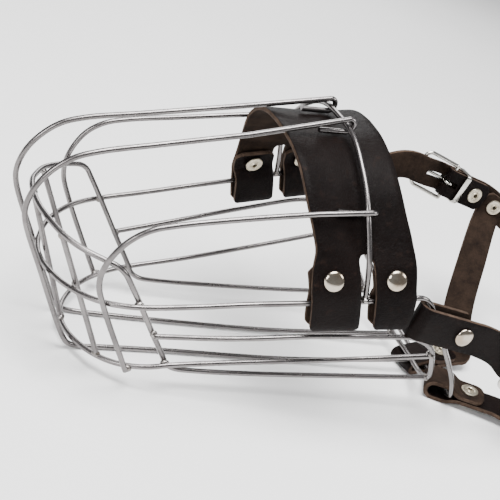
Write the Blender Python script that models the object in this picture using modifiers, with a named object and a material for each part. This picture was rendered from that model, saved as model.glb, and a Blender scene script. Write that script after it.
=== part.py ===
"""Basket muzzle: a welded wire basket, a riveted leather nose band and a buckled leather harness.

The numbers are millimetres in the basket's own frame: x runs from the nose to the neck, y to the dog's
right and z up, with the bottom wires almost level. world() tilts that frame so that the muzzle rests
on the floor on its front wires and its chin loops, and turns it into metres.
"""

import math

import bmesh
import bpy
from mathutils import Matrix, Vector

# ---- driving dimensions, mm ----
WIRE = 2.5  # diameter of every basket wire
GAP = 0.3  # clearance kept between pieces that touch
LEATHER = 2.2  # strap thickness
STRAP_WIDTH = 16.0
CHIN_STRAP_WIDTH = 16.0
RIVET_RADIUS = 4.6
RIVET_DOME = 1.9
WASHER_RADIUS = 4.5
WASHER_THICK = 0.9
STEM_RADIUS = 1.5
BUCKLE_LENGTH = 19.0
BUCKLE_HALF_WIDTH = 10.6
BUCKLE_ROD = 2.2
TONGUE_ROD = 1.7
KEEPER_THICK = 1.0
KEEPER_LENGTH = 3.4

TILT = math.radians(3.26)  # brings the front wires and the chin loops onto one floor
RISE = 8.7
CENTRE_X = 117.6  # middle of the whole length, so that the object stands over its origin

# ---- the basket, half of it; the other half is its mirror image ----
NOSE_HOOP = [  # saddle wire from the middle of the nose, down the side and along the bottom
    (-44.0, 0, 62.8), (-42.6, 12, 62.0), (-39.4, 21, 60.8), (-34.8, 30, 59.4), (-28.4, 37, 58.0),
    (-20, 42.4, 56.6), (-14.6, 45.0, 55.4), (-11.2, 46.3, 53.0), (-8.2, 46.0, 48.5), (-1.3, 44.2, 37.3),
    (8.3, 41.6, 21), (17.0, 38.2, 6.6), (19.4, 37.5, 2.4), (23.5, 37.2, -0.2), (31, 37.2, -1.2),
    (60, 37.4, -2.0), (118, 37.5, -1.8), (154.0, 38.8, -0.5),
]
BOTTOM_LOOP = [
    (-21.2, 0, -1.6), (-20.7, 6, -1.6), (-18.8, 13, -1.6), (-15.2, 20.4, -1.5), (-10.6, 27, -1.2),
    (-4.5, 32.8, -0.6), (3, 37.4, 0.6), (11, 40.0, 2.2), (20, 41.0, 4.2), (48, 44.2, 9.0),
    (92.6, 50.9, 17.2), (136.2, 57.5, 25.9),
]
MAIN_HOOP = [
    (-37.0, 0, 33.0), (-36.3, 8, 33.1), (-34.5, 15, 33.4), (-32.0, 22, 33.8), (-28.6, 28.4, 34.2),
    (-23.6, 35, 34.8), (-17.4, 40.6, 35.6), (-10, 44.6, 36.6), (-1.3, 47.2, 37.8), (20, 50.2, 41.4),
    (43, 53, 45.9), (66.4, 56.1, 50.1), (93, 59.6, 55.2), (111, 61.8, 59.2), (117.4, 62.2, 60.0),
    (121.8, 62.2, 57.8), (128.5, 62.0, 49.5), (136.8, 62.1, 38.6), (143, 58.4, 30.4), (153, 52, 19.0),
    (165, 46, 3), (171.2, 41.8, -7.5), (174.2, 38.0, -12.4), (175.4, 33, -14.3), (174.4, 20, -13.6),
    (172.5, 8, -12.7), (172.0, 0, -12.6),
]
SIDE_RIM = [  # side rail, then down behind the jaw and across
    (8.8, 44.2, 21.5), (41.4, 51.2, 26.9), (77.4, 57.2, 34.2), (110, 63.0, 39.6), (118, 63.2, 39.9),
    (124.2, 62.8, 38.3), (129.6, 61.8, 35.4), (134.2, 60.0, 31.6), (139.6, 56.0, 24.9), (146.2, 50.0, 15.6),
    (152.6, 43.8, 5.4), (155.4, 39.4, 0.0), (157.6, 34, -3.6), (160.6, 24, -7.0), (162.4, 12, -8.2),
    (162.8, 0, -8.4),
]
LONG_WIRE = [  # front bend and bottom of the inner long wires; the top comes from the hook
    (38, 14.5, 105.8), (0, 15.6, 97.0), (-24, 16.6, 91.4), (-34, 16.8, 87.4), (-41.5, 16.8, 81.0),
    (-46.8, 16.9, 73.0), (-49.2, 16.8, 64.0), (-48.4, 16.6, 57.4), (-38.2, 14.9, 33.2),
    (-22.6, 14.5, -1.0), (-19.6, 14.4, -4.8), (-13.5, 14.2, -6.5), (-5, 13.6, -7.0), (25, 12.6, -8.5),
    (90, 12.3, -11.4), (161.2, 11.8, -9.9),
]
OUTER_WIRE = [
    (62.6, 49.7, 89.6), (33, 49.4, 84.4), (2.7, 50.0, 78.6), (-6.6, 50.0, 75.6), (-13.8, 49.9, 70.4),
    (-18.8, 49.2, 63.0), (-21.4, 48.4, 55), (-21.2, 47.4, 47.4), (-17.0, 45.4, 36.4), (1.1, 39.5, -0.5),
]
ARCH_WIRE = [
    (83.4, 0, 114.6), (83.4, 12, 114.3), (83.6, 22, 111.8), (83.8, 33, 106.0), (84.4, 42, 99.2),
    (84.8, 49.2, 91.6), (86.4, 54.4, 82.0), (88.0, 57.6, 73.6), (89.6, 58.3, 66.6), (91.4, 59.3, 56.5),
]
BAR_TOP = (-34.6, 27.6, 57.2)
BAR_FOOT = (-10.4, 28.4, 1.2)
CENTRE_BAR_TOP = (-43.1, 0, 60.6)
CENTRE_BAR_FOOT = (-21.8, 0, 0.5)
LONG_HOOK_Y = 11.4
OUTER_HOOK_Y = 49.2
HOOK_RETURN = 13.0

# nose band, half of its middle surface
BAND_AT = 84.0  # x of the arch wire, where the band's rear half starts to flare
BAND = [  # x, y, z of the front edge, then y, z under the arch wire, then x, y, z of the rear edge
    ((55.5, 0, 107.8), (0, 108.9), (100.2, 0, 113.2)),
    ((55.8, 12, 106.8), (12, 108.5), (100.6, 12.4, 111.8)),
    ((56.4, 21.8, 104.5), (22, 105.6), (101.2, 22.8, 108.4)),
    ((57.4, 30.9, 100.2), (30.8, 101.0), (102.0, 32.8, 103.2)),
    ((58.4, 38.3, 94.6), (38.0, 95.2), (103.2, 41.0, 97.0)),
    ((60.2, 44.6, 87.8), (44.2, 88.4), (105.4, 47.8, 89.4)),
    ((61.8, 48.7, 82.8), (48.6, 82.0), (107.0, 51.7, 84.8)),
    ((62.9, 51.2, 79.2), (51.6, 77.4), (108.2, 55.0, 80.6)),
    ((64.0, 53.9, 74.6), (54.0, 74.2), (109.2, 58.0, 77.0)),
]
# each row: y and z at BAND_AT, then x of the front and of the rear edge
TAIL = [  # outer layer, straight where the rivets sit, then the turn and the inner layer
    (57.6, 69.3, 64.6, 109.8), (60.75, 60.5, 65.6, 111.2), (61.4, 56.0, 66.8, 112.4),
    (61.2, 43.3, 69.6, 113.4), (60.4, 41.2, 70.2, 113.4), (58.4, 40.4, 70.4, 113.4),
    (56.2, 41.2, 70.2, 113.4), (55.3, 43.3, 69.6, 113.4), (55.3, 54.5, 67.6, 112.8),
    (56.4, 57.2, 66.8, 112.4), (58.0, 60.1, 65.6, 111.2), (55.1, 68.4, 63.6, 108.6),
    (53.3, 70.2, 63.4, 108.0),
]
BAND_WIDENS = 0.0021  # share by which y grows for each mm towards the rear
BAND_LIFT = 0.16  # rise for each mm towards the rear
BAND_SLOT_HALF = 3.2  # half the width of the slot between two tails
SLOT_TOP = (87.5, 71.8)  # x and z of its round end
SLOT_LEAN = 0.24
BAND_RIVET_X = (74.2, 101.4)
BAND_RIVET_SHARE = 0.5  # place along the straight part of the outer layer
BAND_RIVET_DEPTH = 3.5  # between the two layers' middles, measured across them

# ---- the harness: the left side hangs to the floor, the right side stands up ----
FOLD_AXIS = (129.0, 0, 50.0)  # the cheek loops flex about this line
FOLD_CUT = 25.4  # radius at which a cheek strap leaves its loop
LOOP_OUTER = 4.3  # level of the outer layer of a cheek loop, from the wire's side
LOOP_INNER = -3.2
CHEEK_Y = 62.0 + LOOP_OUTER
LOOP_RIVET = 14.0
SIDES = {  # sign of y; place and slope of the loop; its front, folded end and last edge along the strap
    "left": dict(sign=-1, loop=(129.0, 62.0, 47.0), slope=-12, front=-12.0, folded=19.5, end=21.8,
                 buckle=(192.0, 64.0, 19.4), buckle_slope=-31,
                 path=[(163.5, 38.0), (169.5, 34.4)]),
    "right": dict(sign=1, loop=(127.5, 62.0, 49.5), slope=25, front=-5.5, folded=21.0, end=24.5,
                  buckle=(199.0, 64.0, 59.7), buckle_slope=-15,
                  path=[(160.0, 64.2), (167.0, 66.4), (174.0, 66.4)]),
}
FOLD_LAYER = 2.5  # from the buckle bar to the middle of each layer of the neck strap's fold
CHEEK_OVER = 5.4  # from the bar to the middle of the cheek strap that lies over it
CROSSBAR_OUT = 5.7
KEEPER_AT = 8.0
CHEEK_TIP = 13.4
NECK_RIVET = 18.6
JAW_UNDER = 3.7  # from the neck strap's middle to the jaw strap's, inside it
JAW_GAP = 1.3
NECK_FOLDED = 27.0
STRAP_SLOT_HALF = 1.6
NECK_PATH = [  # from the right buckle round behind the head to the left one
    (234.5, 65.2, 48.6), (252, 59.0, 39.6), (270, 46.5, 28), (283, 27, 15), (288, 2, 3),
    (283, -24, -7.4), (269, -46.5, -12.6), (251, -60.5, -13.2), (233.5, -66.2, -7.8), (224.5, -66.6, -0.9),
]
CHIN_LOOPS = {  # wire crossing at the level of the lower layer, direction, front, levels and ends
    "left": dict(origin=(175.0, -29.0, -17.0), along=(0.866, -0.5, 0), front=-8.5, rise=2.4, over=8.6,
                 bend=8.6, rivet=14.0, folded=22.0, end=23.5),
    "right": dict(origin=(172.3, -5.0, -16.3), along=(0.98, 0.2, 0), front=-11.0, rise=2.1, over=6.5,
                  bend=5.0, rivet=15.0, folded=23.0, end=24.5),
}
JAW_PATH = {  # stations between the chin loop and the neck strap, with the direction across the strap
    "left": [((207.5, -49.0, -14.8), (0.55, 0.75, 0.1)), ((219.0, -57.0, -12.5), (0.4, 0.3, 0.8))],
    "right": [((204.0, 17.0, 0.5), (0.62, -0.75, -0.1)), ((218.0, 41.0, 22.0), (0.74, -0.6, -0.25))],
}


def world(point):
    """A point of the basket frame, mm, as a world position in metres."""
    x, y, z = point
    return Vector((
        x * math.cos(TILT) - z * math.sin(TILT) - CENTRE_X,
        y,
        x * math.sin(TILT) + z * math.cos(TILT) + RISE,
    )) / 1000


def turned(direction):
    """A direction of the basket frame in world axes."""
    x, y, z = direction
    return Vector((x * math.cos(TILT) - z * math.sin(TILT), y, x * math.sin(TILT) + z * math.cos(TILT)))


def mirrored(points, sign):
    return [(x, y * sign, z) for x, y, z in points]


def both_sides(half):
    """A half line that starts on the middle plane, as one line from the left end to the right end."""
    return mirrored(half, -1)[::-1] + half[1:]


def smooth(points, steps):
    """A Catmull-Rom line through the points with chord-length knots, so that corners stay round."""
    points = [Vector(p) for p in points]
    ends = [points[0] * 2 - points[1], *points, points[-1] * 2 - points[-2]]
    line = []
    for a, b, c, d in zip(ends, ends[1:], ends[2:], ends[3:]):
        t0 = 0.0
        t1 = t0 + math.sqrt((b - a).length)
        t2 = t1 + math.sqrt((c - b).length)
        t3 = t2 + math.sqrt((d - c).length)
        count = steps if (c - b).length > 3 else 1
        for i in range(count):
            t = t1 + (t2 - t1) * i / count
            ab = a.lerp(b, (t - t0) / (t1 - t0))
            bc = b.lerp(c, (t - t1) / (t2 - t1))
            cd = c.lerp(d, (t - t2) / (t3 - t2))
            abc = ab.lerp(bc, (t - t0) / (t2 - t0))
            bcd = bc.lerp(cd, (t - t1) / (t3 - t1))
            line.append(abc.lerp(bcd, (t - t1) / (t2 - t1)))
    return line + [points[-1]]


def clear_scene():
    for obj in list(bpy.data.objects):
        bpy.data.objects.remove(obj)
    for name in ("basket_muzzle", "cutters"):
        collection = bpy.data.collections.new(name)
        bpy.context.scene.collection.children.link(collection)
    bpy.data.collections["cutters"].hide_render = True


def material(name, colour, roughness, metallic):
    made = bpy.data.materials.new(name)
    made.use_nodes = True
    shader = made.node_tree.nodes["Principled BSDF"]
    shader.inputs["Base Color"].default_value = (*colour, 1)
    shader.inputs["Roughness"].default_value = roughness
    shader.inputs["Metallic"].default_value = metallic
    return made


def add(name, data, look, where=None):
    """An object of the muzzle; data is in world metres unless a place is given."""
    obj = bpy.data.objects.new(name, data)
    obj.data.materials.append(look)
    bpy.data.collections["basket_muzzle"].objects.link(obj)
    if where is not None:
        obj.matrix_world = where
    return obj


def wire(name, line, look, diameter=WIRE, closed=False):
    """A bent wire along a line of basket-frame points."""
    curve = bpy.data.curves.new(name, "CURVE")
    curve.dimensions = "3D"
    curve.bevel_depth = diameter / 2000
    curve.bevel_resolution = 1
    curve.use_fill_caps = not closed
    spline = curve.splines.new("POLY")
    spline.points.add(len(line) - 1)
    for point, position in zip(spline.points, line):
        point.co = (*world(position), 1)
    spline.use_cyclic_u = closed
    curve.materials.append(look)
    obj = bpy.data.objects.new(name, curve)
    bpy.data.collections["basket_muzzle"].objects.link(obj)
    return obj


def strip(name, rows, thickness, look):
    """A leather strip: each row is a line of basket-frame points across the strap."""
    bm = bmesh.new()
    grid = [[bm.verts.new(world(p)) for p in row] for row in rows]
    for upper, lower in zip(grid, grid[1:]):
        for i in range(len(upper) - 1):
            bm.faces.new((upper[i], upper[i + 1], lower[i + 1], lower[i]))
    mesh = bpy.data.meshes.new(name)
    bm.to_mesh(mesh)
    bm.free()
    obj = add(name, mesh, look)
    thick = obj.modifiers.new("thickness", "SOLIDIFY")
    thick.thickness = thickness / 1000
    thick.offset = 0
    thick.use_even_offset = True
    return obj


def ribbon_rows(line, widths, width):
    """Rows across a strap: the width follows the hint, squared to the line of the strap."""
    rows = []
    for i, point in enumerate(line):
        point = Vector(point)
        ahead = Vector(line[min(i + 1, len(line) - 1)]) - Vector(line[max(i - 1, 0)])
        ahead.normalize()
        across = Vector(widths[i] if widths else (0, 0, 1))
        across = (across - ahead * across.dot(ahead)).normalized()
        rows.append([point - across * width / 2, point, point + across * width / 2])
    return rows


def frame_at(origin, slope, sign):
    """Axes of a flat piece of strap on one side: along it to the rear, across it and outwards."""
    along = Vector((math.cos(slope), 0, math.sin(slope)))
    across = Vector((-math.sin(slope), 0, math.cos(slope)))
    out = Vector((0, sign, 0))
    x, y, z = origin
    return Vector((x, y * sign, z)), along, across, out


def local(frame, s, w, n):
    origin, along, across, out = frame
    return origin + along * s + across * w + out * n


def axes_matrix(frame, s, w, n):
    """A world matrix at a local place, with local x across the strap, y along it and z outwards."""
    origin, along, across, out = frame
    x, y, z = turned(across), turned(along), turned(out)
    if x.cross(y).dot(z) < 0:
        x = -x
    matrix = Matrix((x, y, z)).transposed().to_4x4()
    matrix.translation = world(local(frame, s, w, n))
    return matrix


def cut(obj, cutter):
    """Takes a hidden cutter out of an object."""
    cutter.hide_render = True
    cutter.display_type = "WIRE"
    for collection in list(cutter.users_collection):
        collection.objects.unlink(cutter)
    bpy.data.collections["cutters"].objects.link(cutter)
    hole = obj.modifiers.new("hole", "BOOLEAN")
    hole.operation = "DIFFERENCE"
    hole.solver = "EXACT"
    hole.object = cutter


def primitive(make, **settings):
    bm = bmesh.new()
    make(bm, **settings)
    mesh = bpy.data.meshes.new("shape")
    bm.to_mesh(mesh)
    bm.free()
    return mesh


def cylinder_cutter(radius, length, where, segments=16):
    mesh = primitive(
        bmesh.ops.create_cone, cap_ends=True, segments=segments,
        radius1=radius / 1000, radius2=radius / 1000, depth=length / 1000,
    )
    obj = bpy.data.objects.new("cutter", mesh)
    obj.matrix_world = where
    bpy.data.collections["cutters"].objects.link(obj)
    return obj


def box_cutter(size, where):
    mesh = primitive(bmesh.ops.create_cube, size=0.001)
    mesh.transform(Matrix.Diagonal((*size, 1)))
    obj = bpy.data.objects.new("cutter", mesh)
    obj.matrix_world = where
    bpy.data.collections["cutters"].objects.link(obj)
    return obj


def turned_shape(name, profile, look, where, steps=20):
    """A round piece from its outline, given as radius and height in mm from top to bottom."""
    mesh = bpy.data.meshes.new(name)
    mesh.from_pydata([(r / 1000, 0, h / 1000) for r, h in profile], [
        (i, i + 1) for i in range(len(profile) - 1)], [])
    obj = add(name, mesh, look, where)
    screw = obj.modifiers.new("turn", "SCREW")
    screw.steps = screw.render_steps = steps
    screw.use_merge_vertices = True
    screw.merge_threshold = 0.00001
    screw.use_normal_calculate = True
    screw.use_normal_flip = True
    return obj


def rivet(name, frame, s, w, outer, inner, looks):
    """A domed cap with its stem outside, and a washer inside, through leather between two levels."""
    cap_base = outer + GAP
    stem = outer + GAP - (inner - GAP - WASHER_THICK)
    profile = [(0, RIVET_DOME)]
    for i in range(1, 6):
        angle = math.radians(90 - 15 * i)
        profile.append((RIVET_RADIUS * math.cos(angle), RIVET_DOME * math.sin(angle)))
    profile += [(RIVET_RADIUS, 0), (STEM_RADIUS, 0), (STEM_RADIUS, -stem), (0, -stem)]
    turned_shape(f"{name}_cap", profile, looks["rivet"], axes_matrix(frame, s, w, cap_base))
    hole = STEM_RADIUS + GAP
    ring = [
        (hole, 0), (WASHER_RADIUS - 0.3, 0), (WASHER_RADIUS, -0.3), (WASHER_RADIUS, -WASHER_THICK),
        (hole, -WASHER_THICK), (hole, 0),
    ]
    turned_shape(f"{name}_washer", ring, looks["washer"], axes_matrix(frame, s, w, inner - GAP))


def rivet_hole(obj, frame, s, w, n):
    where = axes_matrix(frame, s, w, n) @ Matrix.Rotation(math.radians(7), 4, "Z")
    cut(obj, cylinder_cutter(STEM_RADIUS + GAP, 16, where))


def hook(centre, out, along, tail):
    """The rear hook of a top wire round the arch wire, from its tip, which lies on the leather."""
    centre, out, along = Vector(centre), Vector(out).normalized(), Vector(along).normalized()
    reach = WIRE + 1.5 * GAP
    turn = [centre - out * reach - Vector(tail).normalized() * HOOK_RETURN]
    for i in range(9):
        angle = math.radians(-90 + 22.5 * i)
        turn.append(centre + along * reach * math.cos(angle) + out * reach * math.sin(angle))
    return turn


def basket(looks):
    steel = looks["wire"]
    wire("nose_hoop_wire", smooth(both_sides(NOSE_HOOP), 2), steel)
    wire("bottom_loop_wire", smooth(both_sides(BOTTOM_LOOP), 2), steel)
    wire("arch_wire", smooth(both_sides(ARCH_WIRE), 2), steel)
    # these two start and end on the middle plane, the hoop at the nose and the rim under the chin
    ring = smooth([*mirrored(MAIN_HOOP, -1)[::-1], *MAIN_HOOP[1:]], 2)
    wire("main_hoop_wire", ring[:-1], steel, closed=True)
    wire("side_rim_wire", smooth([*SIDE_RIM, *mirrored(SIDE_RIM, -1)[-2::-1]], 2), steel)
    for side, sign in (("left", -1), ("right", 1)):
        long_hook = hook((83.4, LONG_HOOK_Y, 114.6), (0, 0, 1), (1, 0.02, 0.14), (1, 0, 0.05))
        long_line = long_hook + smooth(LONG_WIRE, 2)
        wire(f"long_wire_{side}", mirrored(long_line, sign), steel)
        outer_hook = hook((84.8, OUTER_HOOK_Y, 91.8), (0, 0.82, 0.57), (1, 0.1, 0.1), (1, 0, 0))
        outer_line = outer_hook + smooth(OUTER_WIRE, 2)
        wire(f"outer_wire_{side}", mirrored(outer_line, sign), steel)
        wire(f"front_bar_{side}", mirrored([BAR_TOP, BAR_FOOT], sign), steel)
    wire("front_bar_centre", [CENTRE_BAR_TOP, CENTRE_BAR_FOOT], steel)


def band_point(row, x, sign):
    """A point of the nose band's middle surface at one row of its outline and one x."""
    y, z = row[:2]
    behind = x - BAND_AT
    return Vector((x, sign * y * (1 + BAND_WIDENS * behind), z + BAND_LIFT * behind))


def band_row(row, sign):
    """Five points across the band, from its front edge past the arch wire to its rear edge."""
    if len(row) == 3:
        front, (y, z), rear = row
        front, middle, rear = Vector(front), Vector((BAND_AT, y, z)), Vector(rear)
    else:
        front, middle, rear = (band_point(row, x, 1) for x in (row[2], BAND_AT, row[3]))
    points = [front, front.lerp(middle, 0.5), middle, middle.lerp(rear, 0.5), rear]
    return mirrored(points, sign)


def band_rivet_frame(x, sign):
    upper, lower = TAIL[0], TAIL[1]
    top, foot = band_point(upper, x, sign), band_point(lower, x, sign)
    middle = top.lerp(foot, BAND_RIVET_SHARE)
    across = (top - foot).normalized()
    ahead = band_point(upper, x + 1, sign).lerp(band_point(lower, x + 1, sign), BAND_RIVET_SHARE) - middle
    along = (ahead - across * ahead.dot(across)).normalized()
    out = along.cross(across)
    if out.y * sign < 0:
        out = -out
    return middle, along, across, out


def nose_band(looks):
    half = BAND[1:] + TAIL
    rows = [band_row(row, -1) for row in half[::-1]]
    rows += [band_row(BAND[0], 1)] + [band_row(row, 1) for row in half]
    band = strip("nose_band", rows, LEATHER, looks["leather"])
    for sign, side in ((-1, "left"), (1, "right")):
        x, z = SLOT_TOP
        lean = math.atan(SLOT_LEAN)
        depth = 40.0
        down = Vector((math.sin(lean), 0, -math.cos(lean)))
        middle = Vector((x, sign * 57, z)) + down * depth / 2
        frame = (middle, down, Vector((math.cos(lean), 0, math.sin(lean))), Vector((0, 1, 0)))
        cut(band, box_cutter((2 * BAND_SLOT_HALF, depth, 24), axes_matrix(frame, 0, 0, 0)))
        cut(band, cylinder_cutter(BAND_SLOT_HALF, 24, axes_matrix(frame, -depth / 2, 0, 0), 20))
        for place, rivet_x in zip(("front", "rear"), BAND_RIVET_X):
            rivet_frame = band_rivet_frame(rivet_x, sign)
            rivet_hole(band, rivet_frame, 0, 0, -BAND_RIVET_DEPTH / 2)
            rivet(
                f"band_rivet_{side}_{place}", rivet_frame, 0, 0, LEATHER / 2,
                -BAND_RIVET_DEPTH - LEATHER / 2, looks,
            )


def arc(centre_s, centre_n, radius, start, end, count=6):
    """Points of a round turn in a strap's own plane, as (s, n); angles in degrees from along to outwards."""
    points = []
    for i in range(count + 1):
        angle = math.radians(start + (end - start) * i / count)
        points.append((centre_s + radius * math.cos(angle), centre_n + radius * math.sin(angle)))
    return points


def flat_strip(name, frame, path, width, look):
    """A strap whose line is given as (s, n) in a frame, square across."""
    rows = [[local(frame, s, w, n) for w in (-width / 2, 0, width / 2)] for s, n in path]
    return strip(name, rows, LEATHER, look)


def cheek_side(side, looks):
    dims = SIDES[side]
    sign = dims["sign"]
    frame = frame_at(dims["loop"], math.radians(dims["slope"]), sign)
    radius = (LOOP_OUTER - LOOP_INNER) / 2
    middle = (LOOP_OUTER + LOOP_INNER) / 2
    turn = arc(dims["front"] + radius, middle, radius, 270, 90)
    path = [(dims["folded"], LOOP_INNER), (6, LOOP_INNER), *turn, (6, LOOP_OUTER), (dims["end"], LOOP_OUTER)]
    loop = flat_strip(f"cheek_loop_{side}", frame, path, STRAP_WIDTH, looks["leather"])
    rivet_hole(loop, frame, LOOP_RIVET, 0, middle)
    outer, inner = LOOP_OUTER + LEATHER / 2, LOOP_INNER - LEATHER / 2
    rivet(f"cheek_rivet_{side}", frame, LOOP_RIVET, 0, outer, inner, looks)
    # the strap itself goes on from the loop and over the buckle's bar to its tip
    buckle = buckle_frame(side)
    start = local(frame, 19.0, 0, LOOP_OUTER)
    line = [start, local(frame, 23.5, 0, LOOP_OUTER)]
    line += [Vector((x, CHEEK_Y * sign, z)) for x, z in dims["path"]]
    line += [local(buckle, s, 0, n) for s, n in ((-19.0, 2.3), (-15.0, 2.6), (-4.0, CHEEK_OVER))]
    line += [local(buckle, s, 0, CHEEK_OVER) for s in (0.0, CHEEK_TIP)]
    rows = ribbon_rows(smooth(line, 3), None, STRAP_WIDTH)
    strap = strip(f"cheek_strap_{side}", rows, LEATHER, looks["leather"])
    middle = Vector(FOLD_AXIS)
    axis_frame = (middle, Vector((1, 0, 0)), Vector((0, 0, 1)), Vector((0, 1, 0)))
    cut(strap, cylinder_cutter(FOLD_CUT, 160, axes_matrix(axis_frame, 0, 0, 0), 96))
    slot = axes_matrix(buckle, -8.4, 0, 4.2)
    cut(strap, box_cutter((2 * STRAP_SLOT_HALF, 13.0, 9.0), slot))


def buckle_frame(side):
    dims = SIDES[side]
    return frame_at(dims["buckle"], math.radians(dims["buckle_slope"]), dims["sign"])


def buckle_side(side, looks):
    """Frame, tongue and keeper; the frame and the tongue turn about the bar."""
    frame = buckle_frame(side)
    place = axes_matrix(frame, 0, 0, 0)
    half = BUCKLE_HALF_WIDTH
    outline = [(0, half, 0), (0, -half, 0)]
    for corner in (-1, 1):
        rise = [(-1.2, 1, 0.2), (-9, 1, 3.4), (-BUCKLE_LENGTH + 2.4, 1, 5.4)]
        rise += [(-BUCKLE_LENGTH, 0.82, CROSSBAR_OUT)]
        side_points = [(s, corner * half * share, n) for s, share, n in rise]
        outline += side_points if corner < 0 else side_points[::-1]
    moving(f"buckle_frame_{side}", [local(frame, s, w, n) for s, w, n in outline], BUCKLE_ROD, looks["rivet"],
           place, closed=True)
    ring_radius = BUCKLE_ROD / 2 + 1.5 * GAP + TONGUE_ROD / 2
    tip = Vector((-BUCKLE_LENGTH - 1.6, CROSSBAR_OUT + BUCKLE_ROD / 2 + 3 * GAP + TONGUE_ROD / 2))
    slope = math.degrees(math.atan2(tip.y, tip.x))
    leave = slope - math.degrees(math.acos(ring_radius / tip.length))
    ring = arc(0, 0, ring_radius, leave - 285, leave, 14)
    moving(f"buckle_tongue_{side}", [local(frame, s, 0, n) for s, n in [*ring, tuple(tip)]], TONGUE_ROD,
           looks["rivet"], place)
    inside = -FOLD_LAYER - LEATHER / 2 - 0.4
    outside = CHEEK_OVER + LEATHER / 2 + 0.4
    tall = outside - inside
    wide = STRAP_WIDTH + 0.8
    thick = 2 * KEEPER_THICK
    centre = axes_matrix(frame, KEEPER_AT, 0, (inside + outside) / 2)
    mesh = primitive(bmesh.ops.create_cube, size=0.001)
    mesh.transform(Matrix.Diagonal((wide + thick, KEEPER_LENGTH, tall + thick, 1)))
    keeper = add(f"keeper_{side}", mesh, looks["rivet"], centre)
    cut(keeper, box_cutter((wide, KEEPER_LENGTH * 3, tall), centre))


def moving(name, line, diameter, look, place, closed=False):
    """A wire piece whose origin lies on its joint's axis."""
    obj = wire(name, line, look, diameter, closed)
    graph = bpy.context.evaluated_depsgraph_get()
    mesh = bpy.data.meshes.new_from_object(obj.evaluated_get(graph))
    bpy.data.objects.remove(obj)
    bm = bmesh.new()
    bm.from_mesh(mesh)
    bmesh.ops.remove_doubles(bm, verts=bm.verts, dist=0.00001)
    bm.to_mesh(mesh)
    bm.free()
    mesh.transform(place.inverted())
    made = bpy.data.objects.new(name, mesh)
    bpy.data.collections["basket_muzzle"].objects.link(made)
    made.matrix_world = place
    return made


def neck_line():
    """The neck strap's outer layer from the right buckle to the left one."""
    right, left = buckle_frame("right"), buckle_frame("left")
    line = [local(right, s, 0, FOLD_LAYER) for s in (NECK_RIVET, NECK_FOLDED)]
    line += [Vector(p) for p in NECK_PATH]
    line += [local(left, s, 0, FOLD_LAYER) for s in (NECK_FOLDED, NECK_RIVET)]
    return smooth(line, 4)


def neck_strap(looks):
    """One strap with a fold round each buckle's bar, slotted for the tongue."""
    ends = {}
    for side in SIDES:
        frame = buckle_frame(side)
        turn = arc(0, 0, FOLD_LAYER, 270, 90)
        path = [(NECK_FOLDED, -FOLD_LAYER), (NECK_RIVET, -FOLD_LAYER), (9, -FOLD_LAYER)]
        path += [*turn, (9, FOLD_LAYER)]
        ends[side] = [local(frame, s, 0, n) for s, n in path]
    line = ends["right"] + neck_line() + ends["left"][::-1]
    rows = ribbon_rows(line, None, STRAP_WIDTH)
    last = slice(len(line) - len(ends["left"]), None)
    for side, part in (("right", slice(0, len(ends["right"]))), ("left", last)):
        across = buckle_frame(side)[2]
        rows[part] = [[p - across * STRAP_WIDTH / 2, p, p + across * STRAP_WIDTH / 2] for p in line[part]]
    strap = strip("neck_strap", rows, LEATHER, looks["leather"])
    for side in SIDES:
        frame = buckle_frame(side)
        cut(strap, box_cutter((2 * STRAP_SLOT_HALF, 9.0, 9.4), axes_matrix(frame, 0, 0, 0)))
        rivet_hole(strap, frame, NECK_RIVET, 0, 0)
        face = FOLD_LAYER + LEATHER / 2
        rivet(f"neck_rivet_{side}", frame, NECK_RIVET, 0, face, -face, looks)
        junction = junction_frame(side)
        rivet_hole(strap, junction, 0, 0, 0)
        rivet(f"jaw_rivet_{side}", junction, 0, 0, LEATHER / 2, -JAW_UNDER - LEATHER / 2, looks)


def junction_frame(side):
    """Where a jaw strap is riveted inside the neck strap."""
    target = Vector(NECK_PATH[0] if side == "right" else NECK_PATH[-2])
    line = neck_line()
    nearest = min(range(1, len(line) - 1), key=lambda i: (line[i] - target).length)
    along = (line[nearest + 1] - line[nearest - 1]).normalized()
    across = Vector((0, 0, 1)) - along * along.z
    across.normalize()
    out = along.cross(across)
    if out.y * SIDES[side]["sign"] < 0:
        out = -out
    return line[nearest], along, across, out


def chin_frame(side):
    dims = CHIN_LOOPS[side]
    along = Vector(dims["along"]).normalized()
    return Vector(dims["origin"]), along, Vector((0, 0, 1)).cross(along), Vector((0, 0, -1))


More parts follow.
